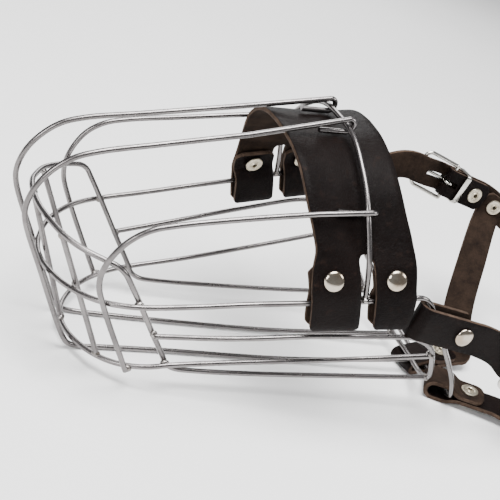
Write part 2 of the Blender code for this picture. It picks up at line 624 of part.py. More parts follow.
def jaw_side(side, looks):
    """The loop round the chin wire, and the jaw strap from it up to the neck strap."""
    dims = CHIN_LOOPS[side]
    frame = chin_frame(side)
    rise = dims["rise"]
    layer = LEATHER + 0.4
    radius = dims["bend"] / 2
    turn = arc(dims["front"] + radius, -radius, radius, 270, 90)
    upper = [(dims["folded"], -rise - layer), (8.5, -rise - layer), (3.0, -dims["over"])]
    path = [*upper, *turn, (2.5, 0.0), (8.5, -rise), (dims["end"], -rise)]
    loop = flat_strip(f"chin_loop_{side}", frame, path, CHIN_STRAP_WIDTH, looks["leather"])
    rivet_hole(loop, frame, dims["rivet"], 0, -rise)
    rivet(f"chin_rivet_{side}", frame, dims["rivet"], 0, -rise + LEATHER / 2, -rise - layer - LEATHER / 2, looks)
    junction = junction_frame(side)
    start = [local(frame, dims["end"] + d, 0, -rise) for d in (JAW_GAP, JAW_GAP + 3)]
    middle = [Vector(p) for p, _ in JAW_PATH[side]]
    seat = local(junction, 0, 0, -JAW_UNDER)
    inward = (seat - middle[-1])
    inward = (inward - junction[3] * inward.dot(junction[3])).normalized()
    stop = [seat - inward * 4.5, seat, seat + inward * 6.5]
    widths = [frame[2]] * 2 + [Vector(w) for _, w in JAW_PATH[side]] + [inward.cross(junction[3])] * 3
    if widths[1].dot(widths[2]) < 0:
        widths[:2] = [-w for w in widths[:2]]
    if widths[-1].dot(widths[3]) < 0:
        widths[-3:] = [-w for w in widths[-3:]]
    line = smooth(start + middle + stop, 3)
    shares = resampled(start + middle + stop, widths, line)
    strap = strip(f"jaw_strap_{side}", ribbon_rows(line, shares, CHIN_STRAP_WIDTH), LEATHER, looks["leather"])
    rivet_hole(strap, junction, 0, 0, -JAW_UNDER)


def resampled(stations, values, line):
    """The value at each point of a smoothed line, by the stations on either side of it."""
    marks = [min(range(len(line)), key=lambda i, s=s: (line[i] - s).length) for s in stations]
    found = []
    for i in range(len(line)):
        k = max(j for j, mark in enumerate(marks) if mark <= i)
        if k == len(marks) - 1:
            found.append(values[-1].normalized())
            continue
        share = (i - marks[k]) / (marks[k + 1] - marks[k])
        found.append(values[k].normalized().lerp(values[k + 1].normalized(), share).normalized())
    return found


def main():
    clear_scene()
    looks = {
        "wire": material("nickel_wire", (0.52, 0.51, 0.50), 0.28, 1.0),
        "leather": material("dark_leather", (0.020, 0.013, 0.012), 0.55, 0.0),
        "rivet": material("nickel_hardware", (0.72, 0.69, 0.62), 0.22, 1.0),
        "washer": material("washer_steel", (0.70, 0.66, 0.55), 0.35, 1.0),
    }
    basket(looks)
    nose_band(looks)
    neck_strap(looks)
    for side in SIDES:
        cheek_side(side, looks)
        buckle_side(side, looks)
        jaw_side(side, looks)
    for obj in bpy.data.collections["basket_muzzle"].objects:
        if obj.type == "MESH":
            obj.data.shade_smooth()
    bpy.context.view_layer.update()


main()
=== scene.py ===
# %% [markdown]
# # A wire basket muzzle
# The imported model gives every piece's place and the bodies that move. This script dresses it: bent and
# welded wire, riveted leather, buckles. We load the frame first.

# %% The frame
import math

import bmesh
import bpy
import numpy as np
from mathutils import Matrix, Vector


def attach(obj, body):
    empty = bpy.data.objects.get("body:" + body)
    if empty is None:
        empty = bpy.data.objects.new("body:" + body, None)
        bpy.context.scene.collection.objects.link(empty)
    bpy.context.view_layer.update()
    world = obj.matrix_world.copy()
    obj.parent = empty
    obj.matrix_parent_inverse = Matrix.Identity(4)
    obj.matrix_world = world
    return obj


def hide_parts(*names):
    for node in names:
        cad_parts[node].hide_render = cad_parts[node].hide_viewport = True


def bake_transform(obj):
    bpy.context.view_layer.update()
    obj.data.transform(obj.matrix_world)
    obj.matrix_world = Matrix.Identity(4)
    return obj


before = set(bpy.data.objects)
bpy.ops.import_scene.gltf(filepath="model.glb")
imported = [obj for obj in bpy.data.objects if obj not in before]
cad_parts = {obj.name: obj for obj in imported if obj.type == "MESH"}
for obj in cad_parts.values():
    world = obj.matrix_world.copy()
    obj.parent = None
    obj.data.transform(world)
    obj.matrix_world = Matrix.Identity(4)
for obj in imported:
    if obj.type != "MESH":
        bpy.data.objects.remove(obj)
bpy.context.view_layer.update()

# %% [markdown]
# ## One drawing frame for all the pieces
# A muzzle maker bends the wires over a wooden former, so every line is written in the former's own
# millimetres: x from the nose to the neck, y to the dog's right, z up. The finished muzzle lies tilted
# on its front wires and chin loops, so two small functions turn points and directions into the room.

# %% From the former to the room
TILT = math.radians(3.26)
RISE = 8.7
MIDDLE_X = 117.6
MM = 0.001


def turned(direction):
    x, y, z = direction
    return Vector((x * math.cos(TILT) - z * math.sin(TILT), y, x * math.sin(TILT) + z * math.cos(TILT)))


def place(point):
    return (turned(point) + Vector((-MIDDLE_X, 0, RISE))) * MM


def mirrored(points, sign):
    return [(x, y * sign, z) for x, y, z in points]


def both_sides(half):
    return mirrored(half, -1)[::-1] + half[1:]


print("the former's zero lies at", [round(v, 4) for v in place((0, 0, 0))])

# %% [markdown]
# ## Smooth lines through measured stations
# Wire bent by hand has no kinks: between two stations it takes the gentlest curve. A centripetal
# Catmull-Rom curve does the same and never overshoots a tight corner, where a Bezier curve needs
# handles for every point. Straps also need a line with even steps, so that their cut ends and slots
# come out the same all along, and rods need corners rounded to a known radius.

# %% Lines
def between(a, b, c, d, share):
    """The point that share of the way from b to c, on a curve through all four."""
    t1 = math.sqrt((b - a).length)
    t2 = t1 + math.sqrt((c - b).length)
    t3 = t2 + math.sqrt((d - c).length)
    t = t1 + (t2 - t1) * share
    ab, bc, cd = a.lerp(b, t / t1), b.lerp(c, (t - t1) / (t2 - t1)), c.lerp(d, (t - t2) / (t3 - t2))
    return ab.lerp(bc, t / t2).lerp(bc.lerp(cd, (t - t1) / (t3 - t1)), (t - t1) / (t2 - t1))


def smooth(points, spacing):
    """A curve through all the points, with a point about every spacing millimetres."""
    points = [Vector(p) for p in points]
    ends = [points[0] * 2 - points[1], *points, points[-1] * 2 - points[-2]]
    line = []
    for a, b, c, d in zip(ends, ends[1:], ends[2:], ends[3:]):
        count = max(1, round((c - b).length / spacing))
        line += [between(a, b, c, d, i / count) for i in range(count)]
    return line + [points[-1]]


def lengths(line):
    """How far along the line each of its points lies."""
    steps = [(b - a).length for a, b in zip(line, line[1:])]
    return np.concatenate([[0.0], np.cumsum(steps)])


def evenly(line, values, spacing):
    """The line and the values that go with its points, sampled again in even steps."""
    marks = lengths(line)
    wanted = np.linspace(0, marks[-1], max(2, round(marks[-1] / spacing) + 1))
    tables = [np.array([list(v) for v in column]) for column in (line, values)]
    made = [np.stack([np.interp(wanted, marks, t[:, k]) for k in range(3)], 1) for t in tables]
    return [[Vector(v) for v in column] for column in made]


def filleted(points, radius, closed=False, steps=5):
    """A line of straight runs with its corners rounded."""
    points = [Vector(p) for p in points]
    line = []
    count = len(points)
    for i, corner in enumerate(points):
        if not closed and i in (0, count - 1):
            line.append(corner)
            continue
        back, ahead = points[i - 1] - corner, points[(i + 1) % count] - corner
        reach = min(radius, back.length * 0.45, ahead.length * 0.45)
        a, b = corner + back.normalized() * reach, corner + ahead.normalized() * reach
        for k in range(steps + 1):
            t = k / steps
            line.append(a * (1 - t) ** 2 + corner * 2 * t * (1 - t) + b * t ** 2)
    return line


print("a test line of", len(smooth([(0, 0, 0), (10, 5, 0), (20, 0, 0)], 1.0)), "points")

# %% [markdown]
# ## Wiring nodes from Python
# A node tree is a sum written as boxes. The class Signal wraps one output socket, and lets us write
# the sum as a sum: 1 - mask adds a Math node by itself. The class Recipe adds any other node in
# one call, settings first, because settings such as a Mix node's type decide which sockets it has.

# %% Signal and Recipe
class Signal:
    """An output socket that can be used in a sum."""

    def __init__(self, recipe, socket):
        self.recipe, self.socket = recipe, socket

    def other(self, name):
        return Signal(self.recipe, self.socket.node.outputs[name])

    def sum(self, operation, a, b):
        return self.recipe.node("ShaderNodeMath", {"operation": operation}, {0: a, 1: b})

    def __add__(self, other):
        return self.sum("ADD", self, other)

    def __radd__(self, other):
        return self.sum("ADD", other, self)

    def __sub__(self, other):
        return self.sum("SUBTRACT", self, other)

    def __rsub__(self, other):
        return self.sum("SUBTRACT", other, self)

    def __mul__(self, other):
        return self.sum("MULTIPLY", self, other)

    def __rmul__(self, other):
        return self.sum("MULTIPLY", other, self)


class Recipe:
    """Adds nodes to a tree."""

    def __init__(self, tree):
        self.tree = tree

    def node(self, kind, settings=None, inputs=None, output=0):
        made = self.tree.nodes.new(kind)
        for name, value in (settings or {}).items():
            if name == "stops":
                ramp = made.color_ramp.elements
                while len(ramp) < len(value):
                    ramp.new(0.5)
                for stop, (position, colour) in zip(ramp, value):
                    stop.position, stop.color = position, (*colour, 1)
            else:
                setattr(made, name, value)
        self.feed(made, inputs or {})
        return Signal(self, made.outputs[output]) if made.outputs else None

    def feed(self, node, inputs):
        for name, value in inputs.items():
            if isinstance(value, Signal):
                self.tree.links.new(value.socket, node.inputs[name])
            else:
                node.inputs[name].default_value = value

    def noise(self, where, scale, detail=3.0, rough=0.5):
        return self.node("ShaderNodeTexNoise", inputs={
            "Vector": where, "Scale": scale, "Detail": detail, "Roughness": rough})

    def stretch(self, value, low, high, to_low=0.0, to_high=1.0):
        """The value's range from low to high, spread over a new range."""
        return self.node("ShaderNodeMapRange", {"clamp": True}, {
            "Value": value, "From Min": low, "From Max": high, "To Min": to_low, "To Max": to_high})

    def mix(self, share, a, b):
        return self.node("ShaderNodeMix", {"data_type": "RGBA"}, {0: share, 6: a, 7: b}, 2)

    def bump(self, height, depth, strength=1.0):
        return self.node("ShaderNodeBump", inputs={
            "Height": height, "Distance": depth, "Strength": strength})


def new_finish(name):
    """A material with its recipe, its shader and a signal of object coordinates."""
    look = bpy.data.materials.new(name)
    look.use_nodes = True
    recipe = Recipe(look.node_tree)
    where = recipe.node("ShaderNodeTexCoord").other("Object")
    return look, recipe, look.node_tree.nodes["Principled BSDF"], where


print("recipes are ready")

# %% [markdown]
# ## Finishes: plated steel
# The wire is drawn steel with a nickel plate. It's a metal, so its base colour is the colour of its
# mirror image, a warm grey. Two noises do the work: a broad one for the cloudy plating that dulls
# where hands touch it, and a fine one for the die marks. Nothing on the wire is painted light or dark by
# hand, because the bright and dark bands on a round wire are reflections of the room. The near-black
# finish of the rivet stems' ends is the one painted shade here: it darkens the hole of each washer.

# %% Nickel on wire, rivets and buckles
def plated(name, bright, dull, polish, cloud_scale, tint=None):
    look, recipe, shader, where = new_finish(name)
    cloud = recipe.stretch(recipe.noise(where, cloud_scale, 4.0, 0.6), 0.35, 0.7)
    speck = recipe.stretch(recipe.noise(where, 2600.0, 2.0), 0.62, 0.75)
    colour = recipe.mix(cloud, (*bright, 1), (*dull, 1))
    if tint:
        stain = recipe.stretch(recipe.noise(where, 130.0, 2.0), 0.5, 0.72)
        colour = recipe.mix(stain * 0.6, colour, (*tint, 1))
    colour = recipe.mix(speck * 0.45, colour, (*[v * 0.35 for v in dull], 1))
    low, high = polish
    marks = recipe.noise(where, 1500.0, 4.0, 0.7)
    recipe.feed(shader, {
        "Base Color": colour, "Metallic": 1.0,
        "Roughness": recipe.stretch(cloud + speck * 0.4, 0.0, 1.3, low, high),
        "Normal": recipe.bump(marks, 0.00006, 0.5),
    })
    return look


NICKEL_WIRE = plated("drawn_nickel_wire", (0.222, 0.208, 0.205), (0.138, 0.128, 0.127), (0.20, 0.38), 60.0)
NICKEL_WELD = plated("weld_metal", (0.30, 0.285, 0.275), (0.13, 0.115, 0.105), (0.22, 0.44), 420.0,
                     (0.20, 0.15, 0.11))
NICKEL_CAP = plated("rivet_cap_nickel", (0.50, 0.445, 0.37), (0.31, 0.265, 0.21), (0.08, 0.24), 170.0,
                    (0.32, 0.23, 0.15))
NICKEL_BUCKLE = plated("buckle_nickel", (0.66, 0.64, 0.60), (0.46, 0.44, 0.40), (0.10, 0.26), 120.0)
WASHER = plated("washer_plate", (0.66, 0.60, 0.48), (0.47, 0.415, 0.31), (0.30, 0.48), 260.0)
# The stem end in each washer's hole is real; its near-black colour is painted shade of the hole.
STEM_END_SHADE = plated("stem_end_painted_shade", (0.035, 0.030, 0.024), (0.016, 0.013, 0.010), (0.45, 0.65), 300.0)
print("plated finishes made")

# %% [markdown]
# ## Finishes: leather has three faces
# A strap shows its grain outside, its flesh inside and the raw cut along its edges. The grain is a net
# of tiny pores and creases, so its bump is a Voronoi pattern bent by noise. The flesh side is short
# fibres, so it is rougher and browner. The cut edge is the paler middle of the hide with the dye
# soaked in from both faces. The strap's own UV map runs in metres across and along it, which lets the
# dye wear thin near the edges wherever the strap turns.

# %% Grain, flesh and cut edge
def grain_leather():
    look, recipe, shader, where = new_finish("grain_leather")
    u = recipe.node("ShaderNodeSeparateXYZ", inputs={
        "Vector": recipe.node("ShaderNodeUVMap", {"uv_map": "strap"})})
    drift = recipe.noise(where, 30.0, 5.0, 0.6)
    bent = recipe.node("ShaderNodeVectorMath", {"operation": "MULTIPLY_ADD"}, {
        0: recipe.noise(where, 260.0, 2.0).other("Color"), 1: (0.0012,) * 3, 2: where})
    cells = recipe.node("ShaderNodeTexVoronoi", {"feature": "DISTANCE_TO_EDGE"}, {
        "Vector": bent, "Scale": 900.0})
    pebble = recipe.stretch(cells, 0.0, 0.16)
    crease = recipe.stretch(recipe.noise(bent, 420.0, 5.0, 0.65), 0.3, 0.7)
    edge = recipe.stretch(u, 0.86, 1.0)
    scuff = recipe.stretch(recipe.noise(where, 210.0, 6.0, 0.7), 0.56, 0.72)
    colour = recipe.mix(recipe.stretch(drift, 0.3, 0.7),
                        (0.0018, 0.0008, 0.0007, 1), (0.0052, 0.0026, 0.0021, 1))
    # Painted shade: the colour darkens along the low lines between the grain's pebbles, where the bump dips.
    colour = recipe.mix((1 - pebble) * 0.45, colour, (0.001, 0.0006, 0.0006, 1))
    colour = recipe.mix(scuff * 0.22 + edge * scuff * 0.4, colour, (0.034, 0.019, 0.014, 1))
    recipe.feed(shader, {
        "Base Color": colour,
        "Roughness": recipe.stretch(drift * 0.5 + crease * 0.35 + scuff * 0.3, 0.2, 0.9, 0.42, 0.66),
        "Normal": recipe.bump(pebble * 0.6 + crease, 0.00022, 0.75),
        "Specular IOR Level": 0.05, "Coat Roughness": 0.35,
        "Coat Weight": recipe.stretch(drift, 0.3, 0.7, 0.0, 0.06),
    })
    return look


def fibre_leather(name, dark, pale, scale, depth):
    """The flesh side and the cut edges: brushed fibres, no shine."""
    look, recipe, shader, where = new_finish(name)
    fibre = recipe.noise(where, scale, 6.0, 0.75)
    patch = recipe.noise(where, scale * 0.12, 3.0, 0.6)
    colour = recipe.mix(recipe.stretch(patch * 0.6 + fibre * 0.5, 0.4, 0.72), (*dark, 1), (*pale, 1))
    recipe.feed(shader, {
        "Base Color": colour, "Roughness": recipe.stretch(fibre, 0.3, 0.7, 0.78, 0.95),
        "Normal": recipe.bump(fibre, depth, 0.9), "Specular IOR Level": 0.08,
    })
    return look


GRAIN = grain_leather()
FLESH = fibre_leather("flesh_leather", (0.007, 0.0042, 0.0030), (0.027, 0.0168, 0.0115), 900.0, 0.0003)
EDGE = fibre_leather("cut_edge_leather", (0.020, 0.0125, 0.009), (0.085, 0.056, 0.040), 1300.0, 0.0002)
print("leather finishes made:", GRAIN.name, FLESH.name, EDGE.name)

# %% [markdown]
# ## The wires
# Each wire is one line and one diameter, the simplest rule there is, so a node tree makes them all:
# Mesh to Curve, then Curve to Mesh with a round profile. The line is a mesh of edges, because that
# is what a modifier can read. The stations below are half of each wire; the other half is its mirror
# image. We bake the result with new_from_object and drop the modifier before the frame sees it.

# %% A tree that draws round rod along a line
WIRE = 2.5
GAP = 0.3


def new_tree(name, **sockets):
    """A geometry tree with these inputs, its recipe and its input node."""
    tree = bpy.data.node_groups.new(name, "GeometryNodeTree")
    for socket, kind in {"Geometry": "Geometry", **sockets, "Finish": "Material"}.items():
        tree.interface.new_socket(socket, in_out="INPUT", socket_type="NodeSocket" + kind)
    tree.interface.new_socket("Geometry", in_out="OUTPUT", socket_type="NodeSocketGeometry")
    recipe = Recipe(tree)
    return tree, recipe, recipe.node("NodeGroupInput")


def end_tree(recipe, given, solid):
    """The last two nodes of every tree: the finish and the output."""
    coated = recipe.node("GeometryNodeSetMaterial", inputs={
        "Geometry": solid, "Material": given.other("Finish")})
    recipe.node("NodeGroupOutput", inputs={"Geometry": coated})


def rod_tree():
    tree, recipe, given = new_tree("rod", Diameter="Float", Sides="Int")
    curve = recipe.node("GeometryNodeMeshToCurve", inputs={"Mesh": given})
    outline = recipe.node("GeometryNodeCurvePrimitiveCircle", inputs={
        "Resolution": given.other("Sides"), "Radius": given.other("Diameter") * 0.5})
    rod = recipe.node("GeometryNodeCurveToMesh", inputs={
        "Curve": curve, "Profile Curve": outline, "Fill Caps": True})
    end_tree(recipe, given, recipe.node("GeometryNodeRealizeInstances", inputs={"Geometry": rod}))
    return tree


def linked(name, data):
    obj = bpy.data.objects.new(name, data)
    bpy.context.scene.collection.objects.link(obj)
    return obj


def baked(obj):
    """The mesh that an object's modifiers make. The object itself goes."""
    mesh = bpy.data.meshes.new_from_object(obj.evaluated_get(bpy.context.evaluated_depsgraph_get()))
    bpy.data.objects.remove(obj)
    return mesh


def grown(name, mesh, tree, **inputs):
    """The mesh that a node tree makes of a starting mesh, baked, as an object of that name."""
    seed = linked(name + "_seed", mesh)
    modifier = seed.modifiers.new("grow", "NODES")
    modifier.node_group = tree
    for socket in tree.interface.items_tree:
        if socket.in_out == "INPUT" and socket.name in inputs:
            modifier[socket.identifier] = inputs[socket.name]
    return shown(name, baked(seed))


def shown(name, mesh, sharp=40.0):
    """A mesh as an object of the muzzle, shaded smooth except over sharp corners."""
    mesh.name = name
    obj = linked(name, mesh)
    mesh.shade_smooth()
    mesh.set_sharp_from_angle(angle=math.radians(sharp))
    return obj


def line_mesh(name, line, closed=False):
    mesh = bpy.data.meshes.new(name)
    edges = [(i, i + 1) for i in range(len(line) - 1)] + ([(len(line) - 1, 0)] if closed else [])
    mesh.from_pydata([place(p) for p in line], edges, [])
    return mesh


def settle(obj, body, slot, *nodes):
    """The finished piece takes the place of its CAD nodes and rides on their body."""
    if nodes:
        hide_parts(*nodes)
    if body:
        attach(obj, body)
    print(obj.name, len(obj.data.polygons), "faces")
    return obj


ROD = rod_tree()
print("rod tree with", len(ROD.nodes), "nodes")

# %% Stations of the wires
NOSE_HOOP = [
    (-44.0, 0, 62.8), (-42.6, 12, 62.0), (-39.4, 21, 60.8), (-34.8, 30, 59.4), (-28.4, 37, 58.0),
    (-20, 42.4, 56.6), (-14.6, 45.0, 55.4), (-11.2, 46.3, 53.0), (-8.2, 46.0, 48.5), (-1.3, 44.2, 37.3),
    (8.3, 41.6, 21), (17.0, 38.2, 6.6), (19.4, 37.5, 2.4), (23.5, 37.2, -0.2), (31, 37.2, -1.2),
    (60, 37.4, -2.0), (118, 37.5, -1.8), (154.0, 38.8, -0.5),
]
BOTTOM_LOOP = [
    (-21.2, 0, -1.6), (-20.7, 6, -1.6), (-18.8, 13, -1.6), (-15.2, 20.4, -1.5), (-10.6, 27, -1.2),
    (-4.5, 32.8, -0.6), (3, 37.4, 0.6), (11, 40.0, 2.2), (20, 41.0, 4.2), (48, 44.2, 9.0),
    (92.6, 50.9, 17.2), (136.2, 57.5, 25.9),
]
MAIN_HOOP = [
    (-37.0, 0, 33.0), (-36.3, 8, 33.1), (-34.5, 15, 33.4), (-32.0, 22, 33.8), (-28.6, 28.4, 34.2),
    (-23.6, 35, 34.8), (-17.4, 40.6, 35.6), (-10, 44.6, 36.6), (-1.3, 47.2, 37.8), (20, 50.2, 41.4),
    (43, 53, 45.9), (66.4, 56.1, 50.1), (93, 59.6, 55.2), (111, 61.8, 59.2), (117.4, 62.2, 60.0),
    (121.8, 62.2, 57.8), (128.5, 62.0, 49.5), (136.8, 62.1, 38.6), (143, 58.4, 30.4), (153, 52, 19.0),
    (165, 46, 3), (171.2, 41.8, -7.5), (174.2, 38.0, -12.4), (175.4, 33, -14.3), (174.4, 20, -13.6),
    (172.5, 8, -12.7), (172.0, 0, -12.6),
]
SIDE_RIM = [
    (8.8, 44.2, 21.5), (41.4, 51.2, 26.9), (77.4, 57.2, 34.2), (110, 63.0, 39.6), (118, 63.2, 39.9),
    (124.2, 62.8, 38.3), (129.6, 61.8, 35.4), (134.2, 60.0, 31.6), (139.6, 56.0, 24.9), (146.2, 50.0, 15.6),
    (152.6, 43.8, 5.4), (155.4, 39.4, 0.0), (157.6, 34, -3.6), (160.6, 24, -7.0), (162.4, 12, -8.2),
    (162.8, 0, -8.4),
]
LONG_WIRE = [
    (38, 14.5, 105.8), (0, 15.6, 97.0), (-24, 16.6, 91.4), (-34, 16.8, 87.4), (-41.5, 16.8, 81.0),
    (-46.8, 16.9, 73.0), (-49.2, 16.8, 64.0), (-48.4, 16.6, 57.4), (-38.2, 14.9, 33.2),
    (-22.6, 14.5, -1.0), (-19.6, 14.4, -4.8), (-13.5, 14.2, -6.5), (-5, 13.6, -7.0), (25, 12.6, -8.5),
    (90, 12.3, -11.4), (161.2, 11.8, -9.9),
]
OUTER_WIRE = [
    (62.6, 49.7, 89.6), (33, 49.4, 84.4), (2.7, 50.0, 78.6), (-6.6, 50.0, 75.6), (-13.8, 49.9, 70.4),
    (-18.8, 49.2, 63.0), (-21.4, 48.4, 55), (-21.2, 47.4, 47.4), (-17.0, 45.4, 36.4), (1.1, 39.5, -0.5),
]
ARCH_WIRE = [
    (83.4, 0, 114.6), (83.4, 12, 114.3), (83.6, 22, 111.8), (83.8, 33, 106.0), (84.4, 42, 99.2),
    (84.8, 49.2, 91.6), (86.4, 54.4, 82.0), (88.0, 57.6, 73.6), (89.6, 58.3, 66.6), (91.4, 59.3, 56.5),
]
SIDE_BAR = [(-34.6, 27.6, 57.2), (-10.4, 28.4, 1.2)]
CENTRE_BAR = [(-43.1, 0, 60.6), (-21.8, 0, 0.5)]
HOOK_RETURN = 13.0
WIRE_STEP = 1.6
SIGNS = {"left": -1, "right": 1}


def hook(centre, out, along, tail):
    """The end of a top wire, turned back round the arch wire, from its tip, which lies on the leather."""
    centre, out, along, tail = Vector(centre), *(Vector(v).normalized() for v in (out, along, tail))
    reach = WIRE + 1.5 * GAP
    line = [centre - out * reach - tail * HOOK_RETURN, centre - out * reach - tail * HOOK_RETURN / 2]
    for i in range(17):
        angle = math.radians(-90 + 11.25 * i)
        line.append(centre + along * reach * math.cos(angle) + out * reach * math.sin(angle))
    return line


WIRES = {
    "nose_hoop_wire": smooth(both_sides(NOSE_HOOP), WIRE_STEP),
    "bottom_loop_wire": smooth(both_sides(BOTTOM_LOOP), WIRE_STEP),
    "arch_wire": smooth(both_sides(ARCH_WIRE), WIRE_STEP),
    "main_hoop_wire": smooth([*mirrored(MAIN_HOOP, -1)[::-1], *MAIN_HOOP[1:]], WIRE_STEP)[:-1],
    "side_rim_wire": smooth([*SIDE_RIM, *mirrored(SIDE_RIM, -1)[-2::-1]], WIRE_STEP),
    "front_bar_centre": CENTRE_BAR,
}
LONG_HOOK = hook((83.4, 11.4, 114.6), (0, 0, 1), (1, 0.02, 0.14), (1, 0, 0.05))
OUTER_HOOK = hook((84.8, 49.2, 91.8), (0, 0.82, 0.57), (1, 0.1, 0.1), (1, 0, 0))
for side, sign in SIGNS.items():
    WIRES[f"long_wire_{side}"] = mirrored(LONG_HOOK + smooth(LONG_WIRE, WIRE_STEP), sign)
    WIRES[f"outer_wire_{side}"] = mirrored(OUTER_HOOK + smooth(OUTER_WIRE, WIRE_STEP), sign)
    WIRES[f"front_bar_{side}"] = mirrored(SIDE_BAR, sign)
for name, line in WIRES.items():
    closed = name == "main_hoop_wire"
    drawn = grown(f"{name}_drawn", line_mesh(name, line, closed), ROD,
                  Diameter=WIRE * MM, Sides=16, Finish=NICKEL_WIRE)
    settle(drawn, "basket", "nickel_wire", name)
total = sum(lengths([Vector(p) for p in line])[-1] for line in WIRES.values())
print(len(WIRES), "wires,", round(total), "mm of wire")

# %% [markdown]
# ## Weld beads
# Where two wires cross, the welder has squeezed them together hot, and metal has flowed out round the
# contact. A bead is the same small lump everywhere, so it's a job for instances: find each crossing,
# put a point there, and let a tree place a lump on each point, turned to lie across the joint and
# varied by a fixed seed. Crossings are found by measuring, because a list typed by hand would go out
# of step with the wires.

# %% Finding the crossings
TOUCH = 3.15
APART = 7.0
UNWELDED = [{"arch_wire", f"{kind}_wire_{side}"} for kind in ("long", "outer") for side in SIGNS]


def crossings(lines):
    found = []
    fine = {name: np.array(evenly([Vector(p) for p in line], [Vector(p) for p in line], 0.5)[0])
            for name, line in lines.items()}
    names = sorted(fine)
    for i, a in enumerate(names):
        for b in names[i + 1:]:
            if {a, b} in UNWELDED:
                continue
            gaps = np.linalg.norm(fine[a][:, None] - fine[b][None], axis=2)
            while gaps.min() < TOUCH:
                j, k = np.unravel_index(gaps.argmin(), gaps.shape)
                found.append((fine[a][j], fine[b][k], fine[a][min(j + 1, len(fine[a]) - 1)] - fine[a][j - 1]))
                gaps[np.linalg.norm(fine[a] - fine[a][j], axis=1) < APART] = 99
    return found


WELDS = crossings(WIRES)
print(len(WELDS), "crossings are welded")

# %% Lumps on points
def scatter_tree(name, wobble):
    """Puts one shape on every point, its z along the point's own axis, then roughens it."""
    tree, recipe, given = new_tree(name, Shape="Object", Spread="Float", Lumps="Float", Seed="Int")

    def stored(attribute):
        return recipe.node("GeometryNodeInputNamedAttribute", {"data_type": "FLOAT_VECTOR"}, {
            "Name": attribute})

    turn = recipe.node("FunctionNodeAlignRotationToVector", {"axis": "Z"}, {"Vector": stored("axis")})
    turn = recipe.node("FunctionNodeAlignRotationToVector", {"axis": "X", "pivot_axis": "Z"}, {
        "Rotation": turn, "Vector": stored("along")})
    size = recipe.node("FunctionNodeRandomValue", {"data_type": "FLOAT"}, {
        2: 1 - given.other("Spread"), 3: 1 + given.other("Spread"), "Seed": given.other("Seed")}, 1)
    shape = recipe.node("GeometryNodeObjectInfo", inputs={"Object": given.other("Shape")}).other("Geometry")
    laid = recipe.node("GeometryNodeInstanceOnPoints", inputs={
        "Points": given, "Instance": shape, "Rotation": turn, "Scale": size})
    solid = recipe.node("GeometryNodeRealizeInstances", inputs={"Geometry": laid})
    if wobble:
        lump = recipe.node("ShaderNodeTexNoise", inputs={"Scale": 700.0, "Detail": 2.0}, output=1)
        centred = recipe.node("ShaderNodeVectorMath", {"operation": "SUBTRACT"}, {
            0: lump, 1: (0.5, 0.5, 0.5)})
        shift = recipe.node("ShaderNodeVectorMath", {"operation": "SCALE"}, {
            0: centred, "Scale": given.other("Lumps")})
        solid = recipe.node("GeometryNodeSetPosition", inputs={"Geometry": solid, "Offset": shift})
    end_tree(recipe, given, solid)
    return tree


def points_mesh(name, spots):
    """A mesh of bare points, each with its axis and a direction along the piece it sits on."""
    mesh = bpy.data.meshes.new(name)
    mesh.from_pydata([spot for spot, _, _ in spots], [], [])
    for index, attribute in ((1, "axis"), (2, "along")):
        made = mesh.attributes.new(attribute, "FLOAT_VECTOR", "POINT")
        made.data.foreach_set("vector", np.array([list(spot[index]) for spot in spots]).ravel())
    return mesh


def mesh_of(name, bm):
    mesh = bpy.data.meshes.new(name)
    bm.to_mesh(mesh)
    bm.free()
    return mesh


def pattern(name, build):
    """A helper object that trees copy; it is taken away once every copy is baked."""
    bm = bmesh.new()
    build(bm)
    mesh = mesh_of(name, bm)
    mesh.shade_smooth()
    return bpy.data.objects.new(name, mesh)


BEAD = (2.3, 1.75, 1.5)


def bead_shape(bm):
    bmesh.ops.create_icosphere(bm, subdivisions=3, radius=MM)
    bmesh.ops.scale(bm, vec=BEAD, verts=bm.verts)


bead = pattern("bead_pattern", bead_shape)
spots = [(place((a + b) / 2), turned(Vector(b - a)).normalized(), turned(Vector(way)).normalized())
         for a, b, way in WELDS]
BEADS = scatter_tree("weld_beads", True)
beads = grown("weld_beads", points_mesh("weld_points", spots), BEADS, Shape=bead,
              Spread=0.14, Lumps=0.0009, Seed=4, Finish=NICKEL_WELD)
settle(beads, "basket", "nickel_wire")

# %% [markdown]
# ## Leather straps
# Every strap is cut from one hide to one thickness. We lay a grid of points along its middle, one row
# across the strap at each millimetre, and let Solidify give it thickness: its material offsets put the
# flesh side behind and the raw cut on the rim. Bevel then breaks the edges as an edge slicker does.
# The grid also carries the strap UV map: u from 0 in the middle to 1 at the edge, v in metres along.

# %% From rows to a strap
LEATHER = 2.2
STRAP_WIDTH = 16.0
EDGE_BREAK = 0.45


def flat_grid(name, rows, grain_side, skip=frozenset()):
    """A sheet through rows of points. The grain faces grain_side at the row that is named with it."""
    bm = bmesh.new()
    grid = [[bm.verts.new(place(p)) for p in row] for row in rows]
    layer = bm.loops.layers.uv.new("strap")
    half = len(rows[0]) // 2
    along = lengths([Vector(row[half]) for row in rows]) * MM
    for i, (upper, lower) in enumerate(zip(grid, grid[1:])):
        for k in range(len(upper) - 1):
            if (i, k) in skip:
                continue
            face = bm.faces.new((upper[k], upper[k + 1], lower[k + 1], lower[k]))
            for loop, (r, c) in zip(face.loops, ((i, k), (i, k + 1), (i + 1, k + 1), (i + 1, k))):
                loop[layer].uv = (abs(c - half) / half, along[r])
    bm.normal_update()
    row, direction = grain_side
    nearest = min(bm.faces, key=lambda f: (f.calc_center_median() - place(rows[row][half])).length)
    if nearest.normal.dot(turned(direction)) < 0:
        bmesh.ops.reverse_faces(bm, faces=bm.faces)
    bmesh.ops.remove_doubles(bm, verts=bm.verts, dist=0.02 * MM)
    return mesh_of(name, bm)


